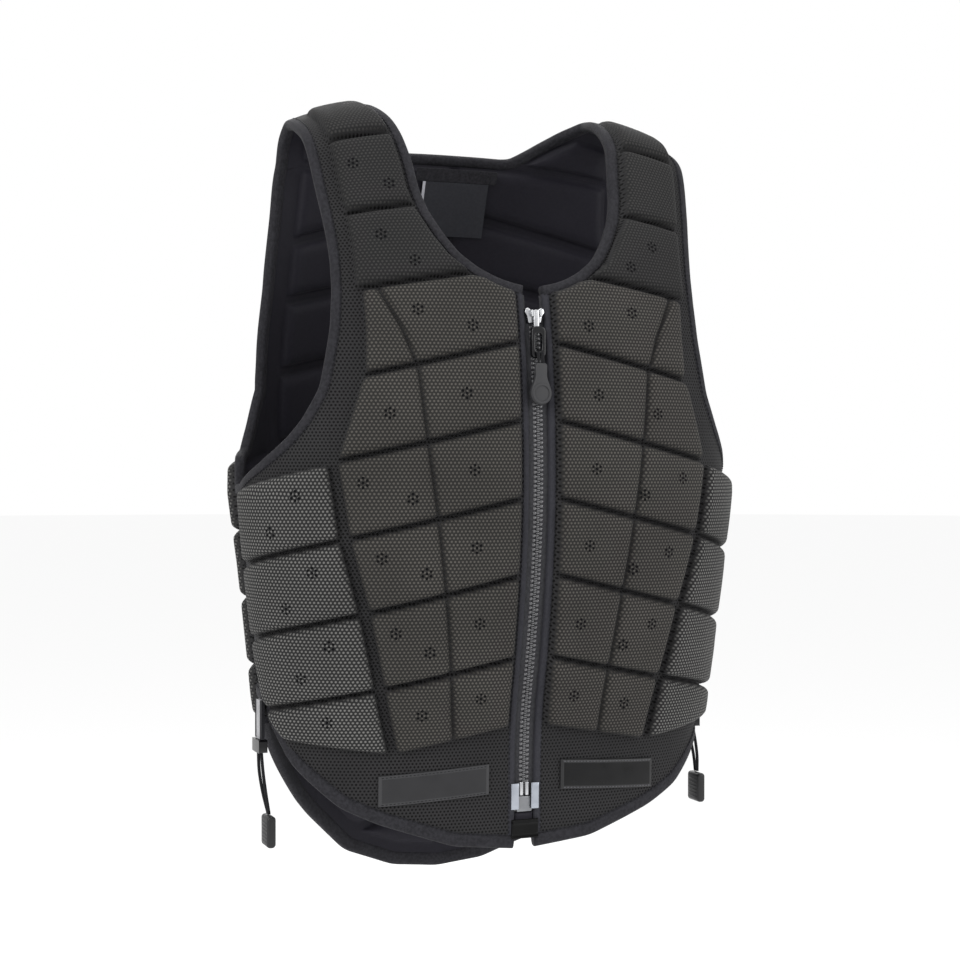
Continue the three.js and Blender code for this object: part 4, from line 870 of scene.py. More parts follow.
class Nodes:
    """Short names for the nodes that the materials use."""

    def __init__(self, tree):
        self.tree = tree

    def link(self, value, socket):
        if isinstance(value, (int, float, tuple)):
            socket.default_value = value
        else:
            self.tree.links.new(value, socket)

    def operate(self, kind, operation, values):
        node = self.tree.nodes.new(kind)
        node.operation = operation
        for value, socket in zip(values, node.inputs):
            self.link(value, socket)
        return node.outputs

    def math(self, operation, *values):
        return self.operate("ShaderNodeMath", operation, values)[0]

    def vector(self, operation, *values):
        outputs = self.operate("ShaderNodeVectorMath", operation, values)
        return outputs["Value" if operation == "LENGTH" else "Vector"]

    def cloth(self, pitch):
        """The cloth's own coordinates, counted in pitches, from metres."""
        node = self.tree.nodes.new("ShaderNodeUVMap")
        node.uv_map = "cloth"
        return self.vector("MULTIPLY", node.outputs["UV"], (1 / pitch, 1 / pitch, 0.0))

    def place(self):
        return self.tree.nodes.new("ShaderNodeTexCoord").outputs["Object"]

    def attribute(self, name):
        node = self.tree.nodes.new("ShaderNodeAttribute")
        node.attribute_name = name
        return node.outputs["Fac"]

    def noise(self, vector, scale, detail=2.0):
        node = self.tree.nodes.new("ShaderNodeTexNoise")
        node.inputs["Scale"].default_value = scale
        node.inputs["Detail"].default_value = detail
        self.link(vector, node.inputs["Vector"])
        return node.outputs["Fac"]

    def span(self, value, low, high, to_low=0.0, to_high=1.0):
        node = self.tree.nodes.new("ShaderNodeMapRange")
        node.interpolation_type = "SMOOTHSTEP"
        self.link(value, node.inputs["Value"])
        sockets = ("From Min", "From Max", "To Min", "To Max")
        for socket, number in zip(sockets, (low, high, to_low, to_high)):
            node.inputs[socket].default_value = number
        return node.outputs["Result"]

    def mix(self, share, first, second):
        node = self.tree.nodes.new("ShaderNodeMix")
        node.data_type = "RGBA"
        self.link(share, node.inputs[0])
        for value, socket in ((first, node.inputs[6]), (second, node.inputs[7])):
            self.link((*value, 1) if isinstance(value, tuple) else value, socket)
        return node.outputs[2]

    def split(self, vector):
        node = self.tree.nodes.new("ShaderNodeSeparateXYZ")
        self.link(vector, node.inputs[0])
        return node.outputs

    def bump(self, height, distance, strength, shader):
        node = self.tree.nodes.new("ShaderNodeBump")
        node.inputs["Distance"].default_value = distance
        node.inputs["Strength"].default_value = strength
        self.link(height, node.inputs["Height"])
        self.link(node.outputs["Normal"], shader.inputs["Normal"])

    def hexagons(self, vector):
        """Distance to the nearest place of a staggered lattice, in pitches."""
        cell = (1.0, math.sqrt(3), 1.0)
        found = []
        for shift in ((0.0, 0.0, 0.0), (0.5, math.sqrt(3) / 2, 0.0)):
            moved = self.vector("DIVIDE", self.vector("ADD", vector, shift), cell)
            inside = self.vector("SUBTRACT", self.vector("FRACTION", moved), (0.5, 0.5, 0.0))
            found.append(self.vector("LENGTH", self.vector("MULTIPLY", inside, (1.0, math.sqrt(3), 0.0))))
        return self.math("MINIMUM", *found)


def sum_of(nodes, *pairs):
    """Weighted sum of values."""
    total = None
    for value, weight in pairs:
        part = nodes.math("MULTIPLY", value, weight)
        total = part if total is None else nodes.math("ADD", total, part)
    return total


def spacer_mesh(name, thread, dot):
    """Knitted mesh with staggered holes: black over the seams, and showing pale foam over the pads, made
    lighter still as a painted highlight on the dots.
    """
    material, nodes, shader = new_material(name, (0.03, 0.03, 0.03), 0.75, specular=0.12, sheen=0.02)
    distance = nodes.hexagons(nodes.cloth(KNIT_PITCH))
    hole = nodes.span(distance, 0.2, 0.36, 1.0, 0.0)
    pad = nodes.span(nodes.attribute("pad"), 0.3, 0.92)
    cloudy = nodes.noise(nodes.place(), 22.0, 3.0)
    loose = nodes.mix(cloudy, (0.014, 0.0138, 0.0145), (0.023, 0.0225, 0.0232))
    tight = nodes.mix(cloudy, tuple(0.75 * x for x in thread), tuple(1.2 * x for x in thread))
    knit = nodes.mix(pad, loose, tight)
    # Pale dots over the pads: the foam showing through, lightened further as a painted highlight.
    foam = nodes.mix(cloudy, tuple(0.7 * x for x in dot), tuple(1.25 * x for x in dot))
    under = nodes.mix(pad, (0.0012, 0.0012, 0.0014), foam)
    nodes.link(nodes.mix(hole, knit, under), shader.inputs["Base Color"])
    threads = nodes.noise(nodes.cloth(KNIT_PITCH / 3), 1.0, 1.0)
    nodes.bump(sum_of(nodes, (hole, -1.0), (threads, 0.5)), KNIT_RELIEF, 0.55, shader)
    return material


def plain_cloth(name, low, high, pitch, roughness=0.8, sheen=0.02, relief_depth=0.0003, specular=0.12):
    """Woven cloth: fine crossed threads and a soft drift of tone."""
    material, nodes, shader = new_material(name, low, roughness, specular=specular, sheen=sheen)
    across, along, _ = nodes.split(nodes.cloth(pitch))
    weft = nodes.math("SINE", nodes.math("MULTIPLY", across, 2 * math.pi))
    warp = nodes.math("SINE", nodes.math("MULTIPLY", along, 2 * math.pi))
    weave = nodes.span(nodes.math("MULTIPLY", weft, warp), -1.0, 1.0)
    cloudy = nodes.noise(nodes.place(), 60.0, 3.0)
    specks = nodes.span(nodes.noise(nodes.place(), 520.0, 2.0), 0.3, 0.7)
    share = sum_of(nodes, (weave, 0.3), (cloudy, 0.3), (specks, 0.4))
    nodes.link(nodes.mix(share, low, high), shader.inputs["Base Color"])
    nodes.bump(sum_of(nodes, (weave, 1.0), (cloudy, 0.4)), relief_depth, 0.5, shader)
    return material


def moulded(name, low, high, roughness, metallic=0.0, specular=0.5, grain=400.0):
    """Plastic, rubber or metal with a faint grain and worn patches of gloss."""
    material, nodes, shader = new_material(name, low, roughness, metallic, specular)
    cloudy = nodes.noise(nodes.place(), 90.0, 3.0)
    nodes.link(nodes.mix(cloudy, low, high), shader.inputs["Base Color"])
    nodes.link(nodes.span(cloudy, 0.2, 0.8, roughness * 0.85, roughness * 1.2), shader.inputs["Roughness"])
    nodes.bump(nodes.noise(nodes.place(), grain, 2.0), FAINT_GRAIN, 0.5, shader)
    return material


front_mesh = spacer_mesh("front_spacer_mesh", (0.0155, 0.0148, 0.014), (0.062, 0.058, 0.052))
# The wings' mesh has brighter dots than the front panel's: painted highlight for the side light falling on
# the wings.
side_mesh_painted_highlight = spacer_mesh("side_spacer_mesh_painted_highlight", (0.0135, 0.0135, 0.0138), (0.115, 0.113, 0.108))
strap_mesh = spacer_mesh("strap_spacer_mesh", (0.0095, 0.0095, 0.0098), (0.027, 0.0262, 0.0255))
lining = plain_cloth(
    "inner_lining", (0.0078, 0.0073, 0.0108), (0.012, 0.0112, 0.0158), 0.0011, 0.6, 0.03, 0.00008
)
binding_cloth = plain_cloth("binding_cloth", (0.004, 0.0039, 0.005), (0.026, 0.0255, 0.03), 0.0012, 0.72)
stitch_thread = plain_cloth("stitch_thread", (0.004, 0.004, 0.005), (0.01, 0.01, 0.012), 0.0008, 0.6)
gusset_cloth = plain_cloth(
    "gusset_cloth", (0.009, 0.009, 0.0105), (0.019, 0.019, 0.021), 0.0016, 0.85, 0.02, 0.0005
)
tape_cloth = plain_cloth("zip_tape_cloth", (0.016, 0.016, 0.018), (0.042, 0.042, 0.046), 0.0009, 0.8)
placket_cloth = plain_cloth("placket_cloth", (0.016, 0.016, 0.02), (0.03, 0.03, 0.036), 0.0009, 0.7)
tab_cloth = plain_cloth("tab_cloth", (0.012, 0.011, 0.015), (0.02, 0.019, 0.024), 0.001, 0.8)
label_satin = plain_cloth(
    "label_satin", (0.019, 0.0195, 0.0235), (0.029, 0.0295, 0.0345), 0.0006, 0.5, 0.05, 0.00005
)
fold_satin = plain_cloth(
    "label_fold_satin", (0.3, 0.3, 0.33), (0.45, 0.45, 0.48), 0.0006, 0.45, 0.05, 0.00005
)
gloss_cloth = plain_cloth(
    "patch_gloss_cloth", (0.004, 0.004, 0.0045), (0.008, 0.008, 0.009), 0.0008, 0.38, 0.0, 0.00008, 0.35
)
cord_braid = plain_cloth(
    "cord_braid", (0.004, 0.004, 0.0045), (0.012, 0.012, 0.014), 0.0012, 0.7, 0.02, 0.0004
)
pale_thread = plain_cloth("pale_thread", (0.06, 0.06, 0.065), (0.1, 0.1, 0.11), 0.0008, 0.6)
silver = moulded("bright_nickel", (0.36, 0.365, 0.38), (0.56, 0.565, 0.58), 0.24, metallic=1.0)
grey_metal = moulded("grey_metal", (0.14, 0.145, 0.155), (0.26, 0.265, 0.275), 0.34, metallic=1.0)
blue_metal = moulded("blue_metal", (0.25, 0.27, 0.31), (0.38, 0.4, 0.44), 0.4, metallic=1.0)
pull_plastic = moulded("pull_plastic", (0.007, 0.007, 0.0075), (0.014, 0.014, 0.015), 0.45, specular=0.3)
# Teeth: dark plastic, its base lightened partly as a painted highlight for the glints on the teeth.
tooth_plastic_and_glint = moulded("tooth_plastic_and_glint", (0.035, 0.035, 0.038), (0.07, 0.07, 0.074), 0.22, specular=0.7)
inset_rubber = moulded(
    "inset_rubber", (0.013, 0.013, 0.0142), (0.021, 0.021, 0.0225), 0.5, specular=0.2, grain=900.0
)
inset_gloss = moulded("inset_gloss", (0.0012, 0.0012, 0.0014), (0.0025, 0.0025, 0.003), 0.3, specular=0.2)
strip_black = moulded("strip_black", (0.001, 0.001, 0.001), (0.0022, 0.0022, 0.0022), 0.35, specular=0.12)
rubber = moulded(
    "matte_rubber", (0.022, 0.022, 0.0235), (0.034, 0.034, 0.036), 0.55, specular=0.25, grain=900.0
)
gloss = moulded("gloss_black", (0.0015, 0.0015, 0.002), (0.004, 0.004, 0.005), 0.16, specular=0.3)


def striped_webbing(middle, half):
    """Webbing with a pale band along its middle and dark selvedges."""
    material, nodes, shader = new_material("striped_webbing", (0.3, 0.3, 0.31), 0.75, specular=0.12)
    across, along, _ = nodes.split(nodes.cloth(MM))
    off = nodes.math("ABSOLUTE", nodes.math("SUBTRACT", across, middle))
    ridges = nodes.math("SINE", nodes.math("MULTIPLY", along, 2 * math.pi / 1.6))
    share = nodes.span(off, half, half + 0.8, 1.0, 0.0)
    cloudy = nodes.noise(nodes.place(), 120.0, 2.0)
    pale = nodes.mix(cloudy, (0.22, 0.22, 0.23), (0.36, 0.36, 0.37))
    nodes.link(nodes.mix(share, (0.012, 0.012, 0.014), pale), shader.inputs["Base Color"])
    nodes.bump(sum_of(nodes, (ridges, 0.5), (share, 0.6)), 0.0003, 0.5, shader)
    return material


# Quilted pieces.
def quilt_piece(name, grid, node, mirror, outer_material):
    uv = np.stack([grid["u"], grid["along"]], axis=-1)
    if mirror:
        uv = uv * np.array([-1.0, 1])
    vertices, faces, uv, kinds, ring = shell(grid["outer"], grid["inner"], uv, mirror)
    outer = grid["pad"].ravel()
    inner = grid["pad_inside"].ravel()
    pad = np.concatenate([outer, inner, outer[ring], inner[ring]])
    cloths = [outer_material, lining]
    thing = new_piece(name, vertices, faces, cloths, "spacer_mesh", [node], uv=uv, kinds=kinds, pad=pad)
    return thing


quilts = []
for side_name in ("left", "right"):
    mirror = side_name == "right"
    for node, grid, material in (
        (f"front_{side_name}_panel", panel, front_mesh),
        (f"front_{side_name}_strap", strap, strap_mesh),
        (f"front_{side_name}_wing", wing, side_mesh_painted_highlight),
        (f"back_{side_name}_strap", back_strap, strap_mesh),
        (f"back_{side_name}_wing", back_wing, side_mesh_painted_highlight),
    ):
        quilts.append(quilt_piece(node + "_quilt", grid, node, mirror, material))
    quilts.append(quilt_piece(f"back_{side_name}_quilt", half_back, "back_panel", mirror, front_mesh))

# Gussets: stretch cloth with fine ribs across it.
rib = GUSSET_RIB * np.sin(gusset["along"] * 2 * math.pi / GUSSET_RIB_PITCH)[..., None]
gusset_outer = gusset["point"] + gusset["normal"] * (GUSSET_HALF + rib)
gusset_inner = gusset["point"] - gusset["normal"] * GUSSET_HALF
gusset_uv = np.stack([gusset["u"], gusset["along"]], axis=-1)
for side_name in ("left", "right"):
    vertices, faces, uv, _, _ = shell(gusset_outer, gusset_inner, gusset_uv, side_name == "right")
    node = f"{side_name}_gusset"
    thing = new_piece(node + "_cloth", vertices, faces, [gusset_cloth], "stretch_cloth", [node], uv=uv)


# Bound edges: a tape folded over the border, swept along it.
def read_at(at, places, values):
    """Rows of a table of places, read between its entries."""
    return np.stack([np.interp(at, places, column) for column in values.T], axis=1)


def spaced(points, normals, step, closed):
    """The same path in even steps, a little smoothed, with its normals."""
    kept = [0]
    for k in range(1, len(points)):
        if np.linalg.norm(points[k] - points[kept[-1]]) > LEAST_EDGE:
            kept.append(k)
    points, normals = points[kept], normals[kept]
    if closed:
        points = np.vstack([points, points[:1]])
        normals = np.vstack([normals, normals[:1]])
    length = np.append(0, np.cumsum(np.linalg.norm(np.diff(points, axis=0), axis=1)))
    count = max(2, round(length[-1] / step))
    places = np.linspace(0, length[-1], count + 1)
    if closed:
        places = places[:-1]
    points = read_at(places, length, points)
    normals = read_at(places, length, normals)
    for _ in range(3):
        for values in (points, normals):
            if closed:
                values[:] = (np.roll(values, 1, axis=0) + 2 * values + np.roll(values, -1, axis=0)) / 4
            else:
                values[1:-1] = (values[:-2] + 2 * values[1:-1] + values[2:]) / 4
    return points, unit(normals), places


def sweep(points, sides, ups, section, closed, places):
    """A closed section carried along a path, with its cloth coordinates."""
    count, around = len(points), len(section)
    sides, ups = (np.broadcast_to(axis, points.shape)[:, None] for axis in (sides, ups))
    vertices = points[:, None] + sides * section[None, :, :1] + ups * section[None, :, 1:]
    girth = np.append(0, np.cumsum(np.linalg.norm(np.diff(section, axis=0), axis=1)))
    uv = np.stack(np.broadcast_arrays(girth[None, :], places[:, None]), axis=-1)
    rings = count if closed else count - 1
    i, j = np.meshgrid(np.arange(rings), np.arange(around), indexing="ij")
    here, there = (row.ravel() * around for row in (i, (i + 1) % count))
    j, next_j = j.ravel(), (j.ravel() + 1) % around
    faces = np.stack([here + j, here + next_j, there + next_j, there + j], axis=1).tolist()
    if not closed:
        faces.append(list(range(around))[::-1])
        faces.append([(count - 1) * around + k for k in range(around)])
    vertices = vertices.reshape(-1, 3)
    return vertices, facing_out(vertices, faces), uv.reshape(-1, 2)


def facing_out(vertices, faces):
    """The same faces, turned so that they enclose a positive volume."""
    volume = 0.0
    for face in faces:
        a, b, c = (vertices[face[k]] for k in (0, 1, 2))
        volume += float(np.dot(a, np.cross(b, c)))
        if len(face) > 3:
            d = vertices[face[3]]
            volume += float(np.dot(a, np.cross(c, d)))
    return faces if volume > 0 else [list(face)[::-1] for face in faces]


def rounded_section(low, high, half, power=3.0, count=16):
    """A flattened oval section between two distances from the border."""
    angles = np.linspace(0, 2 * math.pi, count, endpoint=False)
    c, s = np.cos(angles), np.sin(angles)
    x = np.sign(c) * np.abs(c) ** (2 / power) * (high - low) / 2 + (high + low) / 2
    y = np.sign(s) * np.abs(s) ** (2 / power) * half
    return np.column_stack([x, y])


def bits(template, places, *axes):
    """Copies of one small mesh at many places, each turned to its own axes."""
    vertices, faces = template
    a, b, c = (np.broadcast_to(axis, places.shape)[:, None] for axis in axes)
    made = places[:, None] + vertices[:, :1] * a + vertices[:, 1:2] * b + vertices[:, 2:] * c
    starts = np.arange(len(places)) * len(vertices)
    return made.reshape(-1, 3), [[index + start for index in face] for start in starts for face in faces]


def block(size, bevel, segments=1):
    """A small block with bevelled edges, as places and faces."""
    work = bmesh.new()
    bmesh.ops.create_cube(work, size=1)
    bmesh.ops.scale(work, vec=size, verts=work.verts)
    bmesh.ops.bevel(work, geom=work.edges[:], offset=bevel, segments=segments, profile=0.5, affect="EDGES")
    work.verts.ensure_lookup_table()
    vertices = np.array([v.co[:] for v in work.verts])
    faces = [[v.index for v in face.verts] for face in work.faces]
    work.free()
    return vertices, faces


def binding(name, nodes, path, closed, way, cloth=None, low=BINDING_IN, high=BINDING_OUT, half=BINDING_HALF):
    """A tape folded over an edge, with a row of stitches near its inner side."""
    points, normals, places = spaced(*path, BINDING_STEP, closed)
    around = np.roll(points, -1, axis=0) - np.roll(points, 1, axis=0)
    tangent = unit(around if closed else np.gradient(points, axis=0))
    sides = unit(np.cross(tangent, normals)) * way
    vertices, faces, uv = sweep(points, sides, normals, rounded_section(low, high, half), closed, places)
    new_piece(name, vertices, faces, [cloth or binding_cloth], "binding_tape", nodes, uv=uv)
    at = np.linspace(0, places[-1], round(places[-1] / STITCH_STEP) + 1)[1:-1]
    axes = (points, sides, normals, tangent)
    points, sides, normals, tangent = (read_at(at, places, values) for values in axes)
    seat = points + sides * (low + STITCH_INSET) + normals * (half - STITCH_SUNK)
    made, rows = bits(block(STITCH_SIZE, 0.2), seat, unit(sides), unit(normals), unit(tangent))
    new_piece(name + "_stitches", made, rows, [stitch_thread], "binding_tape", uv=made[:, [0, 2]])


def edge(grid, row=None, column=None, reverse=False):
    """Places and normals of a border of a quilt."""
    pick = (row, slice(None)) if row is not None else (slice(None), column)
    point, normal = grid["point"][pick], grid["normal"][pick]
    return (point[::-1], normal[::-1]) if reverse else (point, normal)


def where(path, keep):
    return path[0][keep], path[1][keep]


def other_side(path):
    return mirrored(path[0])[::-1], mirrored(path[1])[::-1]


def joined(*paths):
    return np.concatenate([path[0] for path in paths]), np.concatenate([path[1] for path in paths])


panel_side = edge(panel, column=-1, reverse=True)
back_side = edge(half_back, column=-1)
armhole = joined(
    edge(strap, column=-1, reverse=True),
    where(panel_side, panel_side[0][:, 2] > wing["point"][-1, 0, 2] + CORNER_CLEAR),
    edge(wing, row=-1),
    where(edge(gusset, row=-1), slice(1, -1)),
    edge(back_wing, row=-1, reverse=True),
    where(back_side, back_side[0][:, 2] > back_wing["point"][-1, 0, 2] + CORNER_CLEAR),
    edge(back_strap, column=-1),
)
for side_name, path in (("left", armhole), ("right", other_side(armhole))):
    binding(f"{side_name}_armhole_tape", [f"{side_name}_armhole_binding"], path, True, -1)

front_neck = edge(panel, row=-1)
back_neck = edge(half_back, row=-1, reverse=True)
left_neck = joined(
    where(front_neck, front_neck[0][:, 0] < strap["point"][0, 0, 0] - 2),
    edge(strap, column=0),
    edge(back_strap, column=0, reverse=True),
    where(back_neck, back_neck[0][:, 0] < back_strap["point"][0, 0, 0] - CORNER_CLEAR),
)
neck = joined(left_neck, other_side(left_neck))
binding("neck_tape_binding", ["neck_binding"], neck, False, -1)

wing_hem = where(edge(wing, row=0), slice(1, None))
left_hem = joined(edge(panel, row=0), wing_hem, where(edge(gusset, row=0), slice(1, -1)))
for side_name, path in (("left", left_hem), ("right", other_side(left_hem))):
    nodes = [f"front_{side_name}_hem_binding"]
    binding(f"front_{side_name}_hem_tape", nodes, path, False, 1, low=HEM_BINDING_IN)
left_back_hem = joined(edge(half_back, row=0), edge(back_wing, row=0))
back_hem = joined(other_side(left_back_hem), left_back_hem)
binding("back_hem_tape", ["back_hem_binding"], back_hem, False, -1, low=HEM_BINDING_IN)

# Placket: a tape folded over each panel's edge beside the zip.
placket = edge(panel, column=0)
for side_name, path in (("left", placket), ("right", other_side(placket))):
    binding(f"front_{side_name}_placket", [], path, False, -1, placket_cloth, low=-5.2, high=0.8, half=3.3)

# Laid pieces: thin slabs on the cloth, rounded at their rims.
def laid(side, distances, heights, nearest, thickness):
    """Outer and inner places of a slab between distances and heights, rounded at its rim."""
    distance = np.broadcast_to(distances[None, :], (len(heights), len(distances)))
    along = along_of_z(side, np.stack([height(distances) for height in heights]))
    point, normal = sheet_frame(side, distance, along)
    near_side = np.minimum(distance - distances[0], distances[-1] - distance)
    near_end = np.minimum(np.abs(along - along[0]), np.abs(along - along[-1]))
    near = np.minimum(near_side, near_end)
    drop = 0.5 * thickness * (1 - np.clip(near / RIM_RADIUS, 0, 1)) ** 2
    outer = point + normal * (nearest + thickness - drop)[..., None]
    return outer, point + normal * nearest, np.stack([distance, along], axis=-1)


def spread(low, high, count):
    return np.linspace(low, high, count + 1)


def rimmed(low, high, count, rim=2.0):
    """Even steps with close ones beside both ends."""
    ends = np.array([0, 0.3, 0.8, rim - 0.2, rim])
    return np.concatenate([low + ends, spread(low + rim, high - rim, count)[1:-1], (high - ends)[::-1]])


def level(heights):
    return [steady(z) for z in heights]


def slab(name, nodes, slot, material, surfaces, mirror=False):
    vertices, faces, uv, _, _ = shell(*surfaces)
    if mirror:
        vertices = mirrored(vertices)
    faces = facing_out(vertices, faces.tolist())
    return new_piece(name, vertices, faces, [material], slot, nodes, uv=uv)


# Patches: a raised border with stitches, and a smooth inset.


def patch_line(drop):
    return lambda u: PATCH_TOP_Z - drop - PATCH_FALL * (u - PATCH_INNER)


patch_lines = [patch_line(drop) for drop in rimmed(0, PATCH_HEIGHT, 5)]
patch = laid(front, rimmed(PATCH_INNER, PATCH_OUTER, 24), patch_lines, EDGE_FRONT, PATCH_THICKNESS)
inset_lines = [patch_line(drop) for drop in spread(INSET, PATCH_HEIGHT - INSET, 5)]
inset_across = spread(PATCH_INNER + INSET, PATCH_OUTER - INSET, 24)
inset = laid(front, inset_across, inset_lines, EDGE_FRONT + PATCH_THICKNESS - 0.1, INSET_THICKNESS)
slab("left_patch_inset", [], "gloss_plastic", inset_gloss, inset)
slab("right_patch_inset", [], "dark_rubber", inset_rubber, inset, True)
slab("left_patch_cloth", ["left_patch"], "gloss_plastic", gloss_cloth, patch)
slab("right_patch_rubber", ["right_patch"], "dark_rubber", rubber, patch, True)
dashes = np.arange(PATCH_INNER + 3, PATCH_OUTER - 2, DASH_STEP)
dash_rows = []
for drop in (DASH_INSET, PATCH_HEIGHT - DASH_INSET):
    point, normal = sheet_frame(front, dashes, along_of_z(front, patch_line(drop)(dashes)))
    way = unit(np.gradient(point, axis=0))
    dash_rows.append((point + normal * (EDGE_FRONT + PATCH_THICKNESS), normal, way))
dash_at, dash_up, dash_way = (np.concatenate(rows) for rows in zip(*dash_rows))
sewn = bits(block((1.5, 0.5, 0.35), 0.12), dash_at, dash_way, unit(np.cross(dash_up, dash_way)), dash_up)
uv = sewn[0][:, [0, 2]]
new_piece("left_patch_stitches", *sewn, [pale_thread], "gloss_plastic", uv=uv)
new_piece("right_patch_stitches", mirrored(sewn[0]), sewn[1], [stitch_thread], "dark_rubber", uv=uv)

# Label and its folded edge, hung from a tape inside the neck.
label_lines = level(spread(LABEL_TOP_Z, LABEL_TOP_Z - LABEL_HEIGHT, 16))
label_across = spread(-LABEL_WIDTH / 2, LABEL_WIDTH / 2, 20)
label_surfaces = laid(back, label_across, label_lines, -INSIDE_FACE - 1.1, 0.8)
label = slab("neck_label_satin", ["neck_label"], "label_cloth", label_satin, label_surfaces)
fold_across = spread(-LABEL_WIDTH / 2, LABEL_FOLD - LABEL_WIDTH / 2, 3)
fold = laid(back, fold_across, label_lines, -INSIDE_FACE - 1.5, 0.4)
slab("neck_label_fold", [], "label_cloth", fold_satin, fold)
tape_lines = level(spread(LABEL_TOP_Z + 9.3, LABEL_TOP_Z + 0.3, 4))
tape = laid(back, spread(-TAPE_HALF, TAPE_HALF, 22), tape_lines, -INSIDE_FACE - 1.2, 1.2)
slab("neck_tape_cloth", ["neck_tape"], "binding_tape", binding_cloth, tape)

# Zip: moulded teeth on two tapes.
tape_down = spread(CHAIN_TOP_Z, ZIP_FOOT_Z, 110)


def front_centre(z):
    z = np.asarray(z, float)
    point, normal = sheet_frame(front, 0 * z, along_of_z(front, z))
    return point, normal, unit(np.cross(normal, X_AXIS))


for side_name, way, shift in (("left", 1, 0.0), ("right", -1, TOOTH_PITCH / 2)):
    point, *axes = front_centre(np.arange(CHAIN_TOP_Z - 1.2 - shift, ZIP_FOOT_Z + 0.6, -TOOTH_PITCH))
    heads = bits(block(TOOTH_HEAD, 0.35), point + X_AXIS * way * TOOTH_HEAD_AT, X_AXIS, *axes)
    legs = bits(block(TOOTH_LEG, 0.45), point + X_AXIS * way * TOOTH_LEG_AT, X_AXIS, *axes)
    vertices = np.concatenate([heads[0], legs[0]])
    faces = heads[1] + [[index + len(heads[0]) for index in face] for face in legs[1]]
    node = f"zip_teeth_{side_name}"
    uv = vertices[:, [0, 2]]
    new_piece(node + "_fine", vertices, faces, [tooth_plastic_and_glint], "zip_plastic", [node], uv=uv)
    for name, nodes, across, down in (
        ("tape", [f"zip_tape_{side_name}"], spread(TAPE_INNER, TAPE_OUTER, 4), tape_down),
        ("top_tape", [], spread(TOP_TAPE_INNER, TAPE_OUTER, 2), spread(NECK_FOOT_Z, CHAIN_TOP_Z, 8)),
    ):
        tape = laid(front, across, level(down), -TAPE_THICKNESS / 2, TAPE_THICKNESS)
        slab(f"{node}_{name}", nodes, "binding_tape", tape_cloth, tape, way < 0)


# Small hard pieces: outlines in the plane of the chest, with their thickness towards the front.
def arc(x, z, radius, start, end, count=6):
    angles = np.radians(np.linspace(start, end, count + 1))
    return [(x + radius * math.cos(a), z + radius * math.sin(a)) for a in angles]


def rounded_outline(width, top, foot, radius):
    half = width / 2
    return (
        arc(half - radius, foot + radius, radius, -90, 0)
        + arc(half - radius, top - radius, radius, 0, 90)
        + arc(-half + radius, top - radius, radius, 90, 180)
        + arc(-half + radius, foot + radius, radius, 180, 270)
    )


def plate(name, nodes, slot, material, outline, back_y, sizes, body="vest", hole=None, shift_x=0.0):
    """A plate with rounded edges, cut from an outline, with a hole if asked. Sizes: thickness and bevel."""
    thickness, bevel = sizes
    turns = np.linspace(0, math.pi / 2, 5)
    levels = [(bevel * (1 - math.sin(turn)), back_y - bevel * (1 - math.cos(turn))) for turn in turns]
    levels += [(inset, 2 * back_y - thickness - y) for inset, y in reversed(levels)]
    vertices = []
    faces = []
    starts = []
    for ring, way in ((outline, 1), (hole, -1)):
        if ring is None:
            continue
        ring = np.array(ring, float)
        size = len(ring)
        tangent = unit(np.roll(ring, -1, axis=0) - np.roll(ring, 1, axis=0))
        start = len(vertices)
        starts.append(start)
        for inset, y in levels:
            for (x, z), (dx, dz) in zip(ring, tangent * way):
                vertices.append((x - inset * dz + shift_x, y, z + inset * dx))
        for k in range(len(levels) - 1):
            for j in range(size):
                a = start + k * size + j
                b = start + k * size + (j + 1) % size
                faces.append([a, b, b + size, a + size][::way])
    last = len(levels) - 1
    for level_number, turn in ((0, -1), (last, 1)):
        rows = [start + level_number * size + np.arange(size) for start in starts]
        if hole is None:
            faces.append(rows[0].tolist()[::turn])
        else:
            quads = np.stack([rows[0], np.roll(rows[0], -1), np.roll(rows[1], -1), rows[1]], axis=1)
            faces += [quad[::turn] for quad in quads.tolist()]
    vertices = np.array(vertices)
    faces = facing_out(vertices, faces)
    return new_piece(name, vertices, faces, [material], slot, nodes, body, uv=vertices[:, [0, 2]])


def front_y(z):
    return float(front_centre([z])[0][0, 1])


# Slider, with two lugs that hold the puller.
slider_y = front_y(ZIP_TOP_Z - 5.25)
slider_right = [
    (0.62, -10.5), (0.78, -5.8), (1.0, -3.2), (0.9, -0.6), (0.62, 0.0), (0.4, -1.2), (0.16, -1.6),
]
slider_outline = [(SLIDER_HALF * share, ZIP_TOP_Z + z) for share, z in slider_right]
slider_outline += [(-x, z) for x, z in reversed(slider_outline)]
plate("zip_slider_body", ["zip_slider"], "silver_metal", silver, slider_outline, slider_y + 3.4, (6.9, 0.9))
lug = rounded_outline(LUG_WIDTH, ZIP_TOP_Z - 1.6, ZIP_TOP_Z - 6.4, 0.7)
for name, x in (("zip_slider_left_lug", LUG_AT), ("zip_slider_right_lug", -LUG_AT)):
    plate(name, [], "silver_metal", silver, lug, slider_y - 3.2, (3.8, 0.4), shift_x=x)

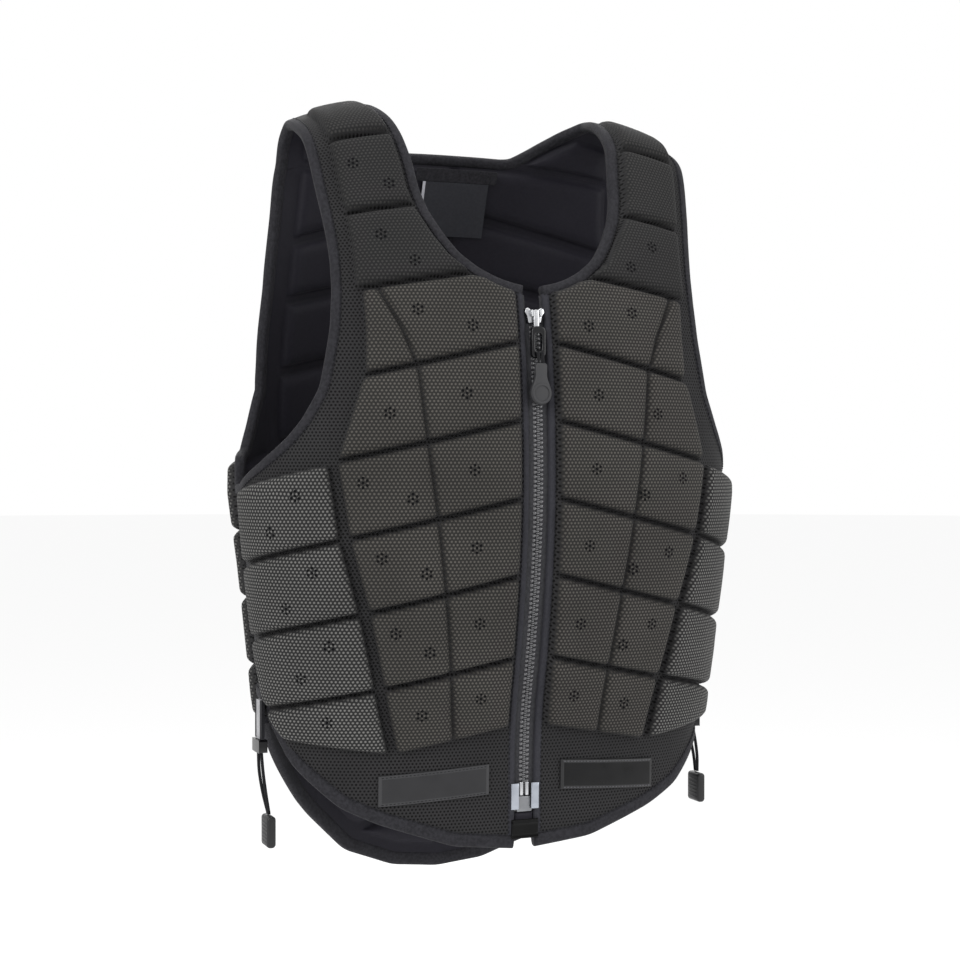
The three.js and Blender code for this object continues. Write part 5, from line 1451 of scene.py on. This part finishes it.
# Puller, link and tag, each in front of the one before.
puller_back = slider_y - 4.4
puller_top = ZIP_TOP_Z - 1.5
puller_foot = puller_top - PULLER_LENGTH
puller = rounded_outline(PULLER_WIDTH, puller_top, puller_foot, 1.6)
puller_sizes = (PULLER_THICKNESS, 0.7)
puller_look = ("silver_metal", silver)
plate("zip_puller_bar", ["zip_puller"], *puller_look, puller, puller_back, puller_sizes, "zip_pull")
link_top = puller_foot + OVERLAP
link_foot = link_top - LINK_LENGTH
link_back = puller_back - PULLER_THICKNESS - PULL_GAP
link = rounded_outline(LINK_WIDTH, link_top, link_foot, 3.6)
window = rounded_outline(4.6, link_top - 5, link_foot + 5, 1.8)
link_sizes = (LINK_THICKNESS, 1.1)
link_look = ("gloss_plastic", gloss)
plate("zip_link_frame", ["zip_link"], *link_look, link, link_back, link_sizes, "zip_pull", window)
tag_top = link_foot + OVERLAP
tag_foot = tag_top - TAG_LENGTH
tag_back = link_back - LINK_STEP - PULL_GAP
tag_start = tag_top - 7.5
tag_bend = tag_start - 8
widest = tag_foot + 7.8
tag_half = [(TAG_NECK_HALF - 1.2, tag_start), (TAG_NECK_HALF, tag_start - 1.2)]
for t in np.linspace(0, 1, 9):
    blend = t * t * (3 - 2 * t)
    x = TAG_NECK_HALF + (TAG_RADIUS - TAG_NECK_HALF) * blend
    tag_half.append((x, tag_bend + (widest - tag_bend) * t))
tag_other_half = [(-x, z) for x, z in reversed(tag_half)]
tag_outline = tag_half + arc(0, widest, TAG_RADIUS, 0, -180, 24)[1:-1] + tag_other_half
tag_sizes = (TAG_THICKNESS, 1.2)
tag_look = ("dark_rubber", rubber)
plate("zip_tag_rubber", ["zip_tag"], *tag_look, tag_outline[::-1], tag_back, tag_sizes, "zip_pull")
rim, rim_hole = (arc(0, widest, radius, 0, 360, 40)[:-1] for radius in (7.0, 5.4))
plate("zip_tag_rim", [], *tag_look, rim, tag_back - 4.2, (0.8, 0.35), "zip_pull", rim_hole)
tag_cord_section = rounded_section(-TAG_CORD_HALF, TAG_CORD_HALF, TAG_CORD_HALF, 2.0, 10)
for name, x in (("zip_tag_cord_left", 1.5), ("zip_tag_cord_right", -1.5)):
    z = np.linspace(tag_top + 0.5, tag_start - 1.5, 8)
    points = np.column_stack([np.full(8, x), np.full(8, tag_back - 2.3), z])
    vertices, faces, uv = sweep(points, X_AXIS, Y_AXIS, tag_cord_section, False, z)
    new_piece(name, vertices, faces, [cord_braid], "cord_cloth", [], "zip_pull", uv=uv)

# Box, stop plates and pins at the zip's foot.
box_top = ZIP_FOOT_Z - 0.3
box_foot = box_top - BOX_HEIGHT
box_back = front_y(box_top - BOX_HEIGHT / 2) + BOX_DEPTH / 2
box = rounded_outline(BOX_WIDTH, box_top, box_foot, 1.2)
plate("zip_box_metal", ["zip_box"], "silver_metal", grey_metal, box, box_back, (BOX_DEPTH, 0.7))
pin = rounded_outline(2.6, ZIP_FOOT_Z + 9.5, ZIP_FOOT_Z + 0.2, 0.6)
pin_back = front_y(ZIP_FOOT_Z + 5) - 0.6
for side_name, way in (("left", 1), ("right", -1)):
    lines = level(spread(ZIP_FOOT_Z + 9, ZIP_FOOT_Z - 9, 8))
    plates = laid(front, rimmed(4.6, 10.4, 2, 1.2), lines, EDGE_FRONT, 1.4)
    node = f"zip_stop_plate_{side_name}"
    slab(node + "_metal", [node], "silver_metal", blue_metal, plates, way < 0)
    plate(f"zip_pin_{side_name}", [], "silver_metal", silver, pin, pin_back, (1.6, 0.4), shift_x=way * 2.1)

# Cloth tab and glossy strip below the box.
hem_top = box_foot - 0.3
hem_foot_z = hem_top - HEM_TAB_LENGTH
hem_tab_lines = level(spread(hem_top, hem_foot_z, 14))
hem_tab = laid(front, spread(-HEM_TAB_HALF, HEM_TAB_HALF, 10), hem_tab_lines, -1.9, 3.8)
slab("hem_tab_cloth", ["hem_tab"], "stretch_cloth", tab_cloth, hem_tab)
strip_lines = level(rimmed(hem_top - 6, hem_foot_z, 3, 1.5))
hem_strip = laid(front, rimmed(-HEM_STRIP_HALF, HEM_STRIP_HALF, 8, 1.5), strip_lines, EDGE_FRONT, 1.7)
slab("hem_strip_gloss", ["hem_strip"], "gloss_plastic", strip_black, hem_strip)

# Side tabs, their guides, the cords and their pulls.
gusset_foot = gusset["point"][0, 0, 2]
tab_top = gusset_foot - 3
tab_foot = tab_top - TAB_LENGTH
tab_middle = front_wing_end(gusset_foot) - 5
webbing = striped_webbing(tab_middle, 4)


def hanging(top, foot, thickness, rows, columns):
    """Faces of a slab that hangs straight down outside the foot of the gusset."""
    distance = spread(tab_middle - TAB_WIDTH / 2, tab_middle + TAB_WIDTH / 2, columns)
    point, normal = sheet_frame(front, distance, along_of_z(front, np.full(columns + 1, gusset_foot)))
    z = spread(top, foot, rows)
    faces = []
    for layer in (TAB_LAYER + thickness / 2, TAB_LAYER - thickness / 2):
        face = np.repeat((point + normal * layer)[None], rows + 1, axis=0)
        face[..., 2] = z[:, None]
        faces.append(face)
    return *faces, np.stack(np.broadcast_arrays(distance[None, :], z[:, None]), axis=-1)


guide_top = tab_foot - PIECE_GAP
tab_faces = hanging(tab_top, tab_foot, TAB_THICKNESS, 12, 8)
guide_faces = hanging(guide_top, guide_top - GUIDE_HEIGHT, GUIDE_DEPTH, 2, 2)
for side_name, mirror in (("left", False), ("right", True)):
    node = f"{side_name}_tab"
    slab(node + "_webbing", [node], "pale_webbing", webbing, tab_faces, mirror)
    node = f"{side_name}_cord_guide"
    guide = slab(node + "_gloss", [node], "gloss_plastic", gloss, guide_faces, mirror)
    rounding = guide.modifiers.new("rounding", "BEVEL")
    rounding.width = 1.2 * MM
    rounding.segments = 3

cord_section = rounded_section(-CORD_DIAMETER / 2, CORD_DIAMETER / 2, CORD_DIAMETER / 2, 2.0, 14)


def cord_path(name, count=24):
    way = 1 if name.startswith("left") else -1
    x, y, z = GUIDE_FOOT_AT
    points = [(way * x + left, y + behind, z + up) for left, behind, up in CORD_ROUTES[name]]
    return curve_through(points, np.linspace(0, len(points) - 1, count))


for side_name in ("left", "right"):
    paths = {name: cord_path(name) for name in CORD_ROUTES if name.startswith(side_name)}
    end = sum(path[-1] for path in paths.values()) / 2
    top = end[2] - 0.8
    outline = rounded_outline(PULL_WIDTH, top, top - PULL_LENGTH, 2.6)
    node = f"{side_name}_cord_pull"
    name = f"{side_name}_pull"
    pull_back = end[1] + PULL_DEPTH / 2
    sizes = (PULL_DEPTH, 1.6)
    place = (outline, pull_back, sizes)
    pull = plate(name + "_rubber", [node], "dark_rubber", pull_plastic, *place, shift_x=end[0])
    ribs_at = np.column_stack([np.full((6, 2), end[:2]), np.linspace(top - 5, top - 18, 6)])
    ribs = bits(block(RIB_SIZE, 0.4, 2), ribs_at, X_AXIS, Y_AXIS, Z_AXIS)
    rib_piece = new_piece(name + "_ribs", *ribs, [pull_plastic], "dark_rubber", uv=ribs[0][:, [1, 2]])
    for name, path in paths.items():
        tangent = unit(np.gradient(path, axis=0))
        sides = unit(np.cross(tangent, Y_AXIS))
        places = np.append(0, np.cumsum(np.linalg.norm(np.diff(path, axis=0), axis=1)))
        vertices, faces, uv = sweep(path, sides, unit(np.cross(sides, tangent)), cord_section, False, places)
        cord = new_piece(name + "_braid", vertices, faces, [cord_braid], "cord_cloth", [name], uv=uv)

# Vents: clusters of seven small holes, each drawn as a near-black disc of painted shade on the quilt. Each
# row says where it shows, across and down from the view's corner.
hole_painted_shade, _, _ = new_material("vent_painted_shade", (0.0025, 0.0025, 0.003), 0.95, specular=0.1)


def hit(across, down):
    """The nearest place on the quilts that the camera sees there."""
    scale = CAMERA_SENSOR / CAMERA_LENS / VIEW_SIDE
    local = Vector(((across - VIEW_SIDE / 2) * scale, (VIEW_SIDE / 2 - down) * scale, -1))
    way = camera.rotation_quaternion @ local.normalized()
    found = [tree.ray_cast(Vector(CAMERA_AT), way) for tree in trees]
    return min((item for item in found if item[0] is not None), key=lambda item: item[3])


trees = []
for thing in quilts:
    places = [vertex.co for vertex in thing.data.vertices]
    trees.append(BVHTree.FromPolygons(places, [face.vertices for face in thing.data.polygons]))
disc = np.array(arc(0, 0, VENT_HOLE, 0, 360, 10)[:-1])
vents = []
faces = []
for view in VENT_VIEWS:
    found = hit(*view)
    normal = np.array(found[1])
    centre = np.array(found[0]) / MM + normal * VENT_STAND
    across = unit(np.cross(Z_AXIS, normal))
    up = np.cross(normal, across)
    for x, z in [(0, 0), *arc(0, 0, VENT_SPACING, 30, 330, 5)]:
        faces.append(list(range(len(vents), len(vents) + len(disc))))
        vents += list(centre + (disc[:, :1] + x) * across + (disc[:, 1:] + z) * up)
new_piece("front_vents", np.array(vents), faces, [hole_painted_shade], "spacer_mesh")

# Floor, light and surroundings.
floor_at = (0, 0, FLOOR_Z)
bpy.ops.mesh.primitive_circle_add(vertices=96, radius=FLOOR_RADIUS, fill_type="NGON", location=floor_at)
floor = bpy.context.active_object
floor.name = "floor"
floor_material, _, _ = new_material("floor_paint", (0.95, 0.95, 0.95), 1.0, specular=0.0)
floor.data.materials.append(floor_material)
floor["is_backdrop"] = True


def area_light(name, place, size, power):
    data = bpy.data.lights.new(name, "AREA")
    data.shape = "RECTANGLE"
    data.size, data.size_y = size
    data.energy = power
    thing = bpy.data.objects.new(name, data)
    thing.location = place
    thing.rotation_mode = "QUATERNION"
    thing.rotation_quaternion = (Vector(LIT_PLACE) - Vector(place)).to_track_quat("-Z", "Y")
    bpy.context.scene.collection.objects.link(thing)


area_light("key_light", (-1.9, -1.2, 0.8), (1.2, 1.6), 38)
area_light("fill_light", (1.8, -1.6, 0.4), (1.2, 1.6), 26)
area_light("top_light", (0.0, -0.3, 1.9), (1.6, 1.6), 22)
area_light("back_light", (0.6, 2.2, 0.8), (1.6, 1.6), 22)
world = bpy.data.worlds.new("studio")
world.use_nodes = True
world.node_tree.nodes["Background"].inputs["Color"].default_value = (1, 1, 1, 1)
world.node_tree.nodes["Background"].inputs["Strength"].default_value = 1.0
bpy.context.scene.world = world
bpy.context.scene.view_settings.view_transform = "Standard"

visual_low, visual_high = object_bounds()
sizes = {"cad": [list(cad_low), list(cad_high)], "visual": [list(visual_low), list(visual_high)]}
